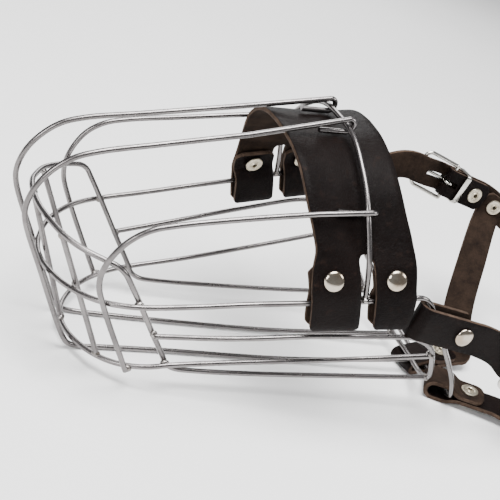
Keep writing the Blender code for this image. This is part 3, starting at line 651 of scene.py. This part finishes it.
def leather(name, mesh, cutters=()):
    """Gives a flat grid its thickness and finishes."""
    raw = linked(name + "_cut", mesh)
    for finish in (GRAIN, FLESH, EDGE):
        mesh.materials.append(finish)
    thick = raw.modifiers.new("thickness", "SOLIDIFY")
    thick.thickness = LEATHER * MM
    thick.offset = 0
    thick.use_even_offset = True
    thick.material_offset, thick.material_offset_rim = 1, 2
    for cutter in cutters:
        hole = raw.modifiers.new("hole", "BOOLEAN")
        hole.operation, hole.solver, hole.object = "DIFFERENCE", "EXACT", cutter
    rim = raw.modifiers.new("edge", "BEVEL")
    rim.width, rim.segments, rim.limit_method = EDGE_BREAK * MM, 2, "ANGLE"
    rim.angle_limit, rim.harden_normals = math.radians(50), True
    return shown(name, baked(raw), 55.0)


def rows_across(line, widths, half_at, columns=8):
    """Rows across a strap; each follows its hint, squared to the strap's own line."""
    rows = []
    marks = lengths(line)
    for i, point in enumerate(line):
        ahead = (line[min(i + 1, len(line) - 1)] - line[max(i - 1, 0)]).normalized()
        across = widths[i] - ahead * widths[i].dot(ahead)
        across.normalize()
        half = half_at(marks[i], marks[-1])
        rows.append([point + across * half * (2 * k / columns - 1) for k in range(columns + 1)])
    return rows


def trimmed(start, end, width=STRAP_WIDTH):
    """Half the strap's width at any place, with its two ends' corners rounded or clipped."""
    def inset(distance, cut):
        kind, size = cut
        if distance >= size:
            return 0.0
        if kind == "clip":
            return size - distance
        return size - math.sqrt(max(size ** 2 - (size - distance) ** 2, 0.0))
    return lambda mark, total: width / 2 - inset(mark, start) - inset(total - mark, end)


print("straps are", STRAP_WIDTH, "mm wide and", LEATHER, "mm thick")

# %% [markdown]
# ## Where the straps run
# The left side of the harness has dropped to the floor and the right side stands up, so each side has
# its own stations. A small set of axes follows each flat stretch: s along the strap, w across it and
# n outwards, as a saddler would mark them on the leather.

# %% Stations of the harness
FLANK = 62.0  # how far out both cheek loops lie
SIDES = {
    "left": dict(sign=-1, loop=(129.0, FLANK, 47.0), slope=-12, front=-12.0, folded=19.5,
                 buckle=(192.0, 64.0, 19.4), buckle_slope=-31, path=[(163.5, 38.0), (169.5, 34.4)]),
    "right": dict(sign=1, loop=(127.5, FLANK, 49.5), slope=25, front=-5.5, folded=21.0,
                  buckle=(199.0, 64.0, 59.7), buckle_slope=-15,
                  path=[(160.0, 64.2), (167.0, 66.4), (174.0, 66.4)]),
}
LOOP_OUTER, LOOP_INNER, LOOP_RIVET = 4.3, -3.2, 14.0
TONGUE_SLOT = 3.2  # how wide the slot for a tongue is
LAYER_GAP = 0.4  # left between two layers of leather, and between leather and a keeper
FOLD_LAYER, CHEEK_OVER, CHEEK_TIP = 2.5, 5.4, 13.4
NECK_RIVET, NECK_FOLDED = 18.6, 27.0
JAW_UNDER, JAW_GAP = 3.7, 1.3
NECK_PATH = [
    (234.5, 65.2, 48.6), (252, 59.0, 39.6), (270, 46.5, 28), (283, 27, 15), (288, 2, 3),
    (283, -24, -7.4), (269, -46.5, -12.6), (251, -60.5, -13.2), (233.5, -66.2, -7.8), (224.5, -66.6, -0.9),
]
CHIN_LOOPS = {
    "left": dict(origin=(175.0, -29.0, -17.0), along=(0.866, -0.5, 0), front=-8.5, rise=2.4, over=8.6,
                 bend=8.6, rivet=14.0, folded=22.0, end=23.5),
    "right": dict(origin=(172.3, -5.0, -16.3), along=(0.98, 0.2, 0), front=-11.0, rise=2.1, over=6.5,
                  bend=5.0, rivet=15.0, folded=23.0, end=24.5),
}
JAW_PATH = {
    "left": [((207.5, -49.0, -14.8), (0.55, 0.75, 0.1)), ((219.0, -57.0, -12.5), (0.4, 0.3, 0.8))],
    "right": [((204.0, 17.0, 0.5), (0.62, -0.75, -0.1)), ((218.0, 41.0, 22.0), (0.74, -0.6, -0.25))],
}
UP = Vector((0, 0, 1))


def axes_at(origin, slope, sign):
    slope = math.radians(slope)
    x, y, z = origin
    return (Vector((x, y * sign, z)), Vector((math.cos(slope), 0, math.sin(slope))),
            Vector((-math.sin(slope), 0, math.cos(slope))), Vector((0, sign, 0)))


def local(axes, s, w, n):
    origin, along, across, out = axes
    return origin + along * s + across * w + out * n


def loop_axes(side):
    dims = SIDES[side]
    return axes_at(dims["loop"], dims["slope"], dims["sign"])


def buckle_axes(side):
    dims = SIDES[side]
    return axes_at(dims["buckle"], dims["buckle_slope"], dims["sign"])


def chin_axes(side):
    dims = CHIN_LOOPS[side]
    along = Vector(dims["along"]).normalized()
    return Vector(dims["origin"]), along, UP.cross(along), -UP


def arc(centre_s, centre_n, radius, start, end, count=16):
    angles = [math.radians(start + (end - start) * i / count) for i in range(count + 1)]
    return [(centre_s + radius * math.cos(a), centre_n + radius * math.sin(a)) for a in angles]


def neck_line():
    right, left = buckle_axes("right"), buckle_axes("left")
    line = [local(right, s, 0, FOLD_LAYER) for s in (NECK_RIVET, NECK_FOLDED)]
    line += [Vector(p) for p in NECK_PATH]
    line += [local(left, s, 0, FOLD_LAYER) for s in (NECK_FOLDED, NECK_RIVET)]
    return smooth(line, 1.5)


NECK_LINE = neck_line()


def junction_axes(side):
    """Where a jaw strap is riveted inside the neck strap."""
    target = Vector(NECK_PATH[0] if side == "right" else NECK_PATH[-2])
    nearest = min(range(1, len(NECK_LINE) - 1), key=lambda i: (NECK_LINE[i] - target).length)
    along = (NECK_LINE[nearest + 1] - NECK_LINE[nearest - 1]).normalized()
    across = (UP - along * along.z).normalized()
    out = along.cross(across)
    return target, along, across, out if out.y * SIDES[side]["sign"] > 0 else -out


print("neck strap:", round(lengths(NECK_LINE)[-1]), "mm between its end rivets")

# %% [markdown]
# ## Cheek straps
# A cheek strap starts inside the basket, wraps round the side wire, comes back out under its rivet
# and runs on over the buckle's bar to its tip. The model parts it in two where the harness flexes.

# %% One cheek strap a side
def drop_slot(axes, s, n, length, width, height):
    """A hidden box that cuts the tongue's slot."""
    bm = bmesh.new()
    bmesh.ops.create_cube(bm, size=MM)
    bmesh.ops.scale(bm, vec=(length, width, height), verts=bm.verts)
    cutter = linked("slot", mesh_of("slot", bm))
    along, across, out = (turned(axis) for axis in axes[1:])
    if along.cross(across).dot(out) < 0:
        across = -across
    cutter.matrix_world = Matrix((along, across, out)).transposed().to_4x4()
    cutter.matrix_world.translation = place(local(axes, s, 0, n))
    bpy.context.view_layer.update()
    return cutter


def cheek_strap(side):
    dims, loop, buckle = SIDES[side], loop_axes(side), buckle_axes(side)
    radius, middle = (LOOP_OUTER - LOOP_INNER) / 2, (LOOP_OUTER + LOOP_INNER) / 2
    turn = arc(dims["front"] + radius, middle, radius, 270, 90)
    path = [(dims["folded"], LOOP_INNER), (6, LOOP_INNER), *turn, (6, LOOP_OUTER), (19.0, LOOP_OUTER)]
    wrap = [local(loop, s, 0, n) for s, n in path]
    line = [wrap[-1], local(loop, 23.5, 0, LOOP_OUTER)]
    line += [Vector((x, (FLANK + LOOP_OUTER) * dims["sign"], z)) for x, z in dims["path"]]
    line += [local(buckle, s, 0, n) for s, n in ((-19.0, 2.3), (-15.0, 2.6), (-4.0, CHEEK_OVER))]
    line += [local(buckle, s, 0, CHEEK_OVER) for s in (0.0, CHEEK_TIP)]
    run = smooth(line, 1.0)
    line = wrap[:-1] + run
    widths = [loop[2]] * (len(wrap) - 1) + [UP] * len(run)
    line, widths = evenly(line, widths, 0.8)
    rows = rows_across(line, widths, trimmed(("clip", 3.2), ("round", 3.0)))
    slot = drop_slot(buckle, -8.4, 4.2, 13.0, TONGUE_SLOT, 9.0)
    cut = leather(f"cheek_strap_{side}_whole", flat_grid("strap", rows, (-3, (0, dims["sign"], 0))), [slot])
    bpy.data.objects.remove(slot)
    place(local(loop, 19.5, 0, 0))
    place(local(loop, 36.0, 0, 0))
    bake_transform(cut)
    return settle(cut, None, "dark_leather", f"cheek_loop_{side}", f"cheek_strap_{side}")


for side in SIDES:
    cheek_strap(side)

# %% [markdown]
# ## Neck strap
# The neck strap folds round the bar of each buckle and is riveted to itself. Its two folds and the
# long run behind the head are one line, so one grid makes it, with a slot at each fold for the tongue.

# %% The neck strap
def neck_strap():
    ends = {}
    for side in SIDES:
        turn = arc(0, 0, FOLD_LAYER, 270, 90)
        path = [(NECK_FOLDED, -FOLD_LAYER), (NECK_RIVET, -FOLD_LAYER), (9, -FOLD_LAYER)]
        path += [*turn, (9, FOLD_LAYER)]
        ends[side] = [local(buckle_axes(side), s, 0, n) for s, n in path]
    line = ends["right"] + NECK_LINE + ends["left"][::-1]
    widths = [buckle_axes("right")[2]] * len(ends["right"]) + [UP] * len(NECK_LINE)
    widths += [buckle_axes("left")[2]] * len(ends["left"])
    line, widths = evenly(line, widths, 0.9)
    rows = rows_across(line, widths, trimmed(("clip", 3.0), ("clip", 3.0)))
    slots = [drop_slot(buckle_axes(side), 0, 0, 9.0, TONGUE_SLOT, 9.4) for side in SIDES]
    cut = leather("neck_strap_whole", flat_grid("strap", rows, (len(rows) // 2, (1, 0, 0))), slots)
    for slot in slots:
        bpy.data.objects.remove(slot)
    return settle(cut, "harness", "dark_leather", "neck_strap")


neck_strap()

# %% [markdown]
# ## Jaw straps
# Each jaw strap is looped round the chin wires, riveted, and runs up to the neck strap, turning from
# flat under the chin to upright at the side. The turn is in the row directions: each station has its
# own, and the rows between them take a share of both.

# %% One jaw strap a side
def shared_out(stations, values, line):
    """The value at each point of a smoothed line, by the stations on either side of it."""
    marks = [min(range(len(line)), key=lambda i, s=s: (line[i] - s).length) for s in stations]
    found = []
    for i in range(len(line)):
        k = max(j for j, mark in enumerate(marks) if mark <= i)
        if k == len(marks) - 1:
            found.append(values[-1].normalized())
            continue
        share = (i - marks[k]) / (marks[k + 1] - marks[k])
        found.append(values[k].normalized().lerp(values[k + 1].normalized(), share).normalized())
    return found


def jaw_strap(side):
    dims, axes, seat_axes = CHIN_LOOPS[side], chin_axes(side), junction_axes(side)
    rise, radius, layer = dims["rise"], dims["bend"] / 2, LEATHER + LAYER_GAP
    turn = arc(dims["front"] + radius, -radius, radius, 270, 90)
    path = [(dims["folded"], -rise - layer), (8.5, -rise - layer), (3.0, -dims["over"]), *turn,
            (2.5, 0.0), (8.5, -rise), (dims["end"], -rise)]
    wrap = filleted([local(axes, s, 0, n) for s, n in path], 2.0)
    start = [local(axes, dims["end"] + d, 0, -rise) for d in (JAW_GAP, JAW_GAP + 3)]
    middle = [Vector(p) for p, _ in JAW_PATH[side]]
    seat = local(seat_axes, 0, 0, -JAW_UNDER)
    inward = seat - middle[-1]
    inward = (inward - seat_axes[3] * inward.dot(seat_axes[3])).normalized()
    stop = [seat - inward * 4.5, seat, seat + inward * 6.5]
    widths = [axes[2]] * 2 + [Vector(w) for _, w in JAW_PATH[side]] + [inward.cross(seat_axes[3])] * 3
    if widths[1].dot(widths[2]) < 0:
        widths[:2] = [-w for w in widths[:2]]
    if widths[-1].dot(widths[3]) < 0:
        widths[-3:] = [-w for w in widths[-3:]]
    stations = start + middle + stop
    run = smooth(stations, 1.0)
    line, widths = evenly(wrap + run, [widths[0]] * len(wrap) + shared_out(stations, widths, run), 0.8)
    rows = rows_across(line, widths, trimmed(("round", 5.0), ("clip", 2.5)))
    cut = leather(f"jaw_strap_{side}_whole", flat_grid("strap", rows, (len(wrap) + 6, (0, 0, -1))))
    place(local(axes, 19.0, 0, 0))
    place(stop[0])
    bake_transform(cut)
    return settle(cut, None, "dark_leather", f"chin_loop_{side}", f"jaw_strap_{side}")


for side in SIDES:
    jaw_strap(side)

# %% [markdown]
# ## The nose band
# The band is a wide arch with a pair of tails on each side. Each tail is folded up inside the basket and
# riveted through both layers. The gap between two tails ends in a round hole, which stops the leather
# from tearing. The grid's middle columns part where the gap is, so its outline comes out clean without
# cutting, and each tail's corners are clipped where it folds, as on the real strap.

# %% Stations of the nose band
BAND_AT = 84.0
BAND = [  # x, y, z of the front edge, then y, z under the arch wire, then x, y, z of the rear edge
    ((55.5, 0, 107.8), (0, 108.9), (100.2, 0, 113.2)),
    ((55.8, 12, 106.8), (12, 108.5), (100.6, 12.4, 111.8)),
    ((56.4, 21.8, 104.5), (22, 105.6), (101.2, 22.8, 108.4)),
    ((57.4, 30.9, 100.2), (30.8, 101.0), (102.0, 32.8, 103.2)),
    ((58.4, 38.3, 94.6), (38.0, 95.2), (103.2, 41.0, 97.0)),
    ((60.2, 44.6, 87.8), (44.2, 88.4), (105.4, 47.8, 89.4)),
    ((61.8, 48.7, 82.8), (48.6, 82.0), (107.0, 51.7, 84.8)),
    ((62.9, 51.2, 79.2), (51.6, 77.4), (108.2, 55.0, 80.6)),
    ((64.0, 53.9, 74.6), (54.0, 74.2), (109.2, 58.0, 77.0)),
]
TAIL = [  # y and z at BAND_AT, then x of the front and of the rear edge
    (57.6, 69.3, 64.6, 109.8), (60.75, 60.5, 65.6, 111.2), (61.4, 56.0, 66.8, 112.4),
    (61.2, 43.3, 69.6, 113.4), (60.4, 41.2, 70.2, 113.4), (58.4, 40.4, 70.4, 113.4),
    (56.2, 41.2, 70.2, 113.4), (55.3, 43.3, 69.6, 113.4), (55.3, 54.5, 67.6, 112.8),
    (56.4, 57.2, 66.8, 112.4), (58.0, 60.1, 65.6, 111.2), (55.1, 68.4, 63.6, 108.6),
    (53.3, 70.2, 63.4, 108.0),
]
BAND_WIDENS, BAND_LIFT = 0.0021, 0.16
SLOT_HALF, SLOT_TOP, SLOT_LEAN = 3.2, (87.5, 71.8), 0.24
BAND_RIVET_X, BAND_RIVET_DEPTH = (74.2, 101.4), 3.5


def band_point(y, z, x, sign):
    behind = x - BAND_AT
    return Vector((x, sign * y * (1 + BAND_WIDENS * behind), z + BAND_LIFT * behind))


def band_rivet_axes(x, sign):
    (y0, z0), (y1, z1) = TAIL[0][:2], TAIL[1][:2]
    top, foot = band_point(y0, z0, x, sign), band_point(y1, z1, x, sign)
    middle, across = top.lerp(foot, 0.5), (top - foot).normalized()
    ahead = band_point(y0, z0, x + 1, sign).lerp(band_point(y1, z1, x + 1, sign), 0.5) - middle
    along = (ahead - across * ahead.dot(across)).normalized()
    out = along.cross(across)
    return middle, along, across, out if out.y * sign > 0 else -out


# %% The nose band
BAND_COLUMNS = 7
FOLD_CLIP, TIP_CLIP = 3.4, 3.8


def clipped(distance, size):
    return max(size - distance, 0.0)


def band_stations():
    """Front, middle and rear point of every station of the right half."""
    arch = [(Vector(front), Vector((BAND_AT, *middle)), Vector(rear)) for front, middle, rear in BAND]
    return arch + [tuple(band_point(y, z, x, 1) for x in (front, BAND_AT, rear))
                   for y, z, front, rear in TAIL]


def band_half():
    """Fine rows of (front, middle, rear, clip) from the middle of the arch to the folded end of a tail."""
    stations = band_stations()
    counts = [max(1, round((b[1] - a[1]).length / 0.7)) for a, b in zip(stations, stations[1:])]
    edges = []
    for points in zip(*stations):
        ends = [points[0] * 2 - points[1], *points, points[-1] * 2 - points[-2]]
        edge = [between(*ends[k:k + 4], i / count) for k, count in enumerate(counts) for i in range(count)]
        edges.append(edge + [points[-1]])
    marks = lengths(edges[1])
    fold = marks[min(range(len(marks)), key=lambda i: edges[1][i].z)]
    return [(*row, clipped(abs(mark - fold), FOLD_CLIP) + clipped(marks[-1] - mark, TIP_CLIP))
            for row, mark in zip(zip(*edges), marks)]


def slot_half(z):
    """Half the width of the gap between the tails at a height."""
    over = z - SLOT_TOP[1]
    return SLOT_HALF if over <= 0 else math.sqrt(max(SLOT_HALF ** 2 - over ** 2, 0.0))


def across_band(front, middle, rear, x):
    """The point of a station at one x, on the front or the rear half of the band."""
    a, b = (front, middle) if x <= middle.x else (middle, rear)
    return a.lerp(b, (x - a.x) / (b.x - a.x))


def band_row(row, sign):
    front, middle, rear, clip = row
    centre = SLOT_TOP[0] + (SLOT_TOP[1] - middle.z) * SLOT_LEAN
    half = slot_half(across_band(front, middle, rear, centre).z)
    clip_inside = clip if half else 0
    ends = ((front.x + clip, centre - half - clip_inside), (centre + half + clip_inside, rear.x - clip))
    points = [across_band(front, middle, rear, a + (b - a) * k / BAND_COLUMNS)
              for a, b in ends for k in range(BAND_COLUMNS + 1)]
    return [Vector(p) for p in mirrored(points, sign)]


HALF_BAND = band_half()
band_rows = [band_row(row, -1) for row in HALF_BAND[::-1]] + [band_row(row, 1) for row in HALF_BAND[1:]]
gap_faces = {(i, BAND_COLUMNS) for i in range(len(band_rows))}
band = leather("nose_band_whole", flat_grid("band", band_rows, (len(HALF_BAND), (0, 0, 1)), gap_faces))
settle(band, "basket", "dark_leather", "nose_band")

# %% [markdown]
# ## Rivets
# A rivet is a domed cap outside and a washer inside, where the end of its stem is hammered over. There
# are only two shapes and many places, so the tree that laid the weld beads lays these too: one mesh of
# caps and one of washers for each body. Each place has an axis, outwards for caps and inwards for
# washers, found from the strap that the rivet goes through. A small disc at the bottom of each washer's
# hole is the end of the stem; its near-black colour is painted shade of the hole.

# %% Cap, washer and their places
RIVET_RADIUS, RIVET_DOME, WASHER_RADIUS, WASHER_THICK = 4.6, 1.9, 4.5, 0.9
TURN_STEPS = 40


def spun(outline):
    """A builder that turns an outline of (radius, height), from the middle and back to it, round z."""
    def build(bm):
        turns = [math.tau * i / TURN_STEPS for i in range(TURN_STEPS)]
        rings = [[bm.verts.new((r * MM * math.cos(a), r * MM * math.sin(a), h * MM)) for a in turns]
                 if r else [bm.verts.new((0, 0, h * MM))] * TURN_STEPS for r, h in outline]
        for near, far in zip(rings, rings[1:]):
            for i in range(TURN_STEPS):
                j = (i + 1) % TURN_STEPS
                bm.faces.new(tuple(dict.fromkeys((near[i], near[j], far[j], far[i]))))
        bmesh.ops.recalc_face_normals(bm, faces=bm.faces)
    return build


DOME = [(RIVET_RADIUS * math.sin(math.radians(a)), 0.25 + (RIVET_DOME - 0.25) * math.cos(math.radians(a)))
        for a in range(0, 91, 10)]
CAP = [*DOME, (RIVET_RADIUS - 0.1, 0.06), (RIVET_RADIUS - 0.35, 0.0), (0, 0)]
RING = [(0, -0.75), (1.1, -0.75), (1.2, -0.2), (1.25, 0.35), (1.5, 0.5), (1.8, 0.4), (2.0, -0.05),
        (2.4, -0.12), (2.6, 0.0), (3.3, 0.05), (WASHER_RADIUS - 0.35, 0), (WASHER_RADIUS - 0.1, -0.1),
        (WASHER_RADIUS, -0.3), (WASHER_RADIUS, -WASHER_THICK + 0.05), (WASHER_RADIUS - 0.1, -WASHER_THICK),
        (0, -WASHER_THICK)]
EYE = [(0, -0.42), (0.5, -0.46), (0.95, -0.6), (0.95, -0.72), (0, -0.72)]
cap, washer, eye = (pattern(f"{name}_pattern", spun(outline))
                    for name, outline in (("cap", CAP), ("washer", RING), ("eye", EYE)))


def rivet_list():
    """Body, name, axes, s, level of the outer face and level of the inner face of every rivet."""
    found = []
    face = LEATHER / 2
    for side, sign in SIGNS.items():
        for end, x in zip(("front", "rear"), BAND_RIVET_X):
            found.append(("basket", f"band_rivet_{side}_{end}", band_rivet_axes(x, sign), 0, face,
                          -BAND_RIVET_DEPTH - face))
        found.append(("basket", f"cheek_rivet_{side}", loop_axes(side), LOOP_RIVET,
                      LOOP_OUTER + face, LOOP_INNER - face))
        chin = CHIN_LOOPS[side]
        layer = chin["rise"] + LEATHER + LAYER_GAP
        found.append(("basket", f"chin_rivet_{side}", chin_axes(side), chin["rivet"],
                      face - chin["rise"], -layer - face))
        found.append(("harness", f"neck_rivet_{side}", buckle_axes(side), NECK_RIVET,
                      FOLD_LAYER + face, -FOLD_LAYER - face))
        found.append(("harness", f"jaw_rivet_{side}", junction_axes(side), 0, face, -JAW_UNDER - face))
    return found


RIVETS = rivet_list()
SEAT = 0.12  # caps and washers stand this far off the leather, so that no faces coincide
print(len(RIVETS), "rivets")

# %% Laying them
PARTS = {"cap": (cap, NICKEL_CAP, "nickel_hardware"), "washer": (washer, WASHER, "washer_steel"),
         "eye": (eye, STEM_END_SHADE, "washer_steel")}
SCATTER = scatter_tree("rivet_parts", False)
for body in ("basket", "harness"):
    for part, (shape, finish, slot) in PARTS.items():
        spots, nodes = [], []
        for owner, name, axes, s, outer, inner in RIVETS:
            if owner != body:
                continue
            level = outer + SEAT if part == "cap" else inner - SEAT - WASHER_THICK
            axis = turned(axes[3]) if part == "cap" else -turned(axes[3])
            spots.append((place(local(axes, s, 0, level)), axis, turned(axes[1])))
            if part != "eye":
                nodes.append(f"{name}_{part}")
        laid = grown(f"rivet_{part}s_{body}", points_mesh(part, spots), SCATTER, Shape=shape,
                     Spread=0.0, Lumps=0.0, Seed=1, Finish=finish)
        settle(laid, body, slot, *nodes)
for helper in (bead, cap, washer, eye):
    bpy.data.objects.remove(helper)

# %% [markdown]
# ## Buckles and keepers
# A buckle is the same rod idea as the basket: a bent frame of thick wire, and a thinner tongue curled
# round its bar. Its corners are bent, not mitred, so the outline is filleted first. The keeper is a flat
# band bent to a rounded box, so we draw the box's outline, give it width, and let Solidify thicken it.

# %% Buckles
BUCKLE_LENGTH, BUCKLE_HALF, BUCKLE_ROD, TONGUE_ROD, CROSSBAR_OUT = 19.0, 10.6, 2.2, 1.7, 5.7
KEEPER_AT, KEEPER_THICK, KEEPER_LENGTH = 8.0, 1.0, 3.4


def buckle(side):
    axes = buckle_axes(side)
    rise = [(-1.2, 1, 0.2), (-9, 1, 3.4), (-BUCKLE_LENGTH + 2.4, 1, 5.4)]
    rise += [(-BUCKLE_LENGTH, 0.82, CROSSBAR_OUT)]
    near = [(s, -BUCKLE_HALF * share, n) for s, share, n in rise]
    far = [(s, -w, n) for s, w, n in near[::-1]]
    outline = [(0, BUCKLE_HALF, 0), (0, -BUCKLE_HALF, 0), *near, *far]
    line = filleted([local(axes, *p) for p in outline], 3.0, closed=True)
    ring_frame = grown(f"buckle_frame_{side}_bent", line_mesh("frame", line, True), ROD,
                       Diameter=BUCKLE_ROD * MM, Sides=18, Finish=NICKEL_BUCKLE)
    settle(ring_frame, f"buckle_frame_{side}", "nickel_hardware", f"buckle_frame_{side}")
    radius = BUCKLE_ROD / 2 + 1.5 * GAP + TONGUE_ROD / 2
    tip = Vector((-BUCKLE_LENGTH - 1.6, CROSSBAR_OUT + BUCKLE_ROD / 2 + 3 * GAP + TONGUE_ROD / 2))
    leave = math.degrees(math.atan2(tip.y, tip.x)) - math.degrees(math.acos(radius / tip.length))
    curl = [*arc(0, 0, radius, leave - 285, leave, 26), tuple(tip)]
    prong = grown(f"buckle_tongue_{side}_bent",
                  line_mesh("tongue", [local(axes, s, 0, n) for s, n in curl]), ROD,
                  Diameter=TONGUE_ROD * MM, Sides=16, Finish=NICKEL_BUCKLE)
    settle(prong, f"buckle_tongue_{side}", "nickel_hardware", f"buckle_tongue_{side}")


def keeper(side):
    axes = buckle_axes(side)
    off = LEATHER / 2 + LAYER_GAP + KEEPER_THICK / 2
    low, high = -FOLD_LAYER - off, CHEEK_OVER + off
    half = STRAP_WIDTH / 2 + LAYER_GAP + KEEPER_THICK / 2
    corners = [(half, low), (half, high), (-half, high), (-half, low)]
    line = filleted([local(axes, 0, w, n) for w, n in corners], 1.8, closed=True)
    bm = bmesh.new()
    rings = [[bm.verts.new(place(p + axes[1] * (KEEPER_AT + s))) for p in line]
             for s in (-KEEPER_LENGTH / 2, 0, KEEPER_LENGTH / 2)]
    for a, b in zip(rings, rings[1:]):
        for i in range(len(a)):
            j = (i + 1) % len(a)
            bm.faces.new((a[i], a[j], b[j], b[i]))
    bmesh.ops.recalc_face_normals(bm, faces=bm.faces)
    raw = linked("keeper_raw", mesh_of("keeper", bm))
    raw.data.materials.append(NICKEL_BUCKLE)
    thick = raw.modifiers.new("thickness", "SOLIDIFY")
    thick.thickness, thick.offset = KEEPER_THICK * MM, 0
    rim = raw.modifiers.new("edge", "BEVEL")
    rim.width, rim.segments, rim.limit_method, rim.angle_limit = 0.25 * MM, 2, "ANGLE", math.radians(50)
    settle(shown(f"keeper_{side}_bent", baked(raw)), f"keeper_{side}", "nickel_hardware", f"keeper_{side}")


for side in SIDES:
    buckle(side)
    keeper(side)

# %% [markdown]
# ## Room, light and camera
# Polished metal shows the room more than itself, so the room is a soft white tent: a pale floor, a large
# lamp overhead, and two dimmer ones beside. The lamps are big, which keeps the shadows soft.

# %% Floor and lamps
def floor():
    bpy.ops.mesh.primitive_plane_add(size=8.0)
    sheet = bpy.context.object
    sheet.name = "floor"
    look, recipe, shader, where = new_finish("pale_floor")
    soft = recipe.stretch(recipe.noise(where, 3.0, 2.0), 0.3, 0.7)
    recipe.feed(shader, {"Base Color": recipe.mix(soft, (0.88, 0.88, 0.875, 1), (0.91, 0.91, 0.905, 1)),
                         "Roughness": 0.9, "Specular IOR Level": 0.2})
    sheet.data.materials.append(look)


def lamp(name, spot, size, power, aim=(0, 0, 0.05)):
    light = bpy.data.lights.new(name, "AREA")
    light.shape, light.size, light.energy = "DISK", size, power
    obj = linked(name, light)
    obj.location = spot
    obj.rotation_euler = (Vector(aim) - Vector(spot)).to_track_quat("-Z", "Y").to_euler()


floor()
lamp("overhead", (-0.15, -0.15, 1.1), 0.8, 32.0)
lamp("left_side", (-1.0, -0.7, 0.6), 0.5, 9.0)
lamp("right_side", (0.9, -0.5, 0.8), 0.5, 7.0)
lamp("behind", (0.2, 1.1, 0.7), 0.7, 9.0)
room = bpy.data.worlds.new("tent")
bpy.context.scene.world = room
room.use_nodes = True
room.node_tree.nodes["Background"].inputs["Color"].default_value = (0.96, 0.97, 1.0, 1)
room.node_tree.nodes["Background"].inputs["Strength"].default_value = 0.35
print("four lamps in a pale room")

# %% The camera
CAMERA_AT = (-121.8, -376.3, 256.7)
LOOKS_ALONG = (0.3888, 0.8002, -0.4566)
LEVEL = (0.9186, -0.2985, 0.259)
lens = bpy.data.cameras.new("camera")
lens.lens, lens.sensor_width = 72.0, 36.0
lens.clip_start = 0.01
camera = linked("camera", lens)
back = -turned(LOOKS_ALONG).normalized()
right = turned(LEVEL).normalized()
camera.matrix_world = Matrix((right, back.cross(right), back)).transposed().to_4x4()
camera.matrix_world.translation = place(CAMERA_AT)
bpy.context.scene.camera = camera
print("camera", round((camera.location - Vector((0, 0, 0.05))).length, 3), "m from the muzzle")
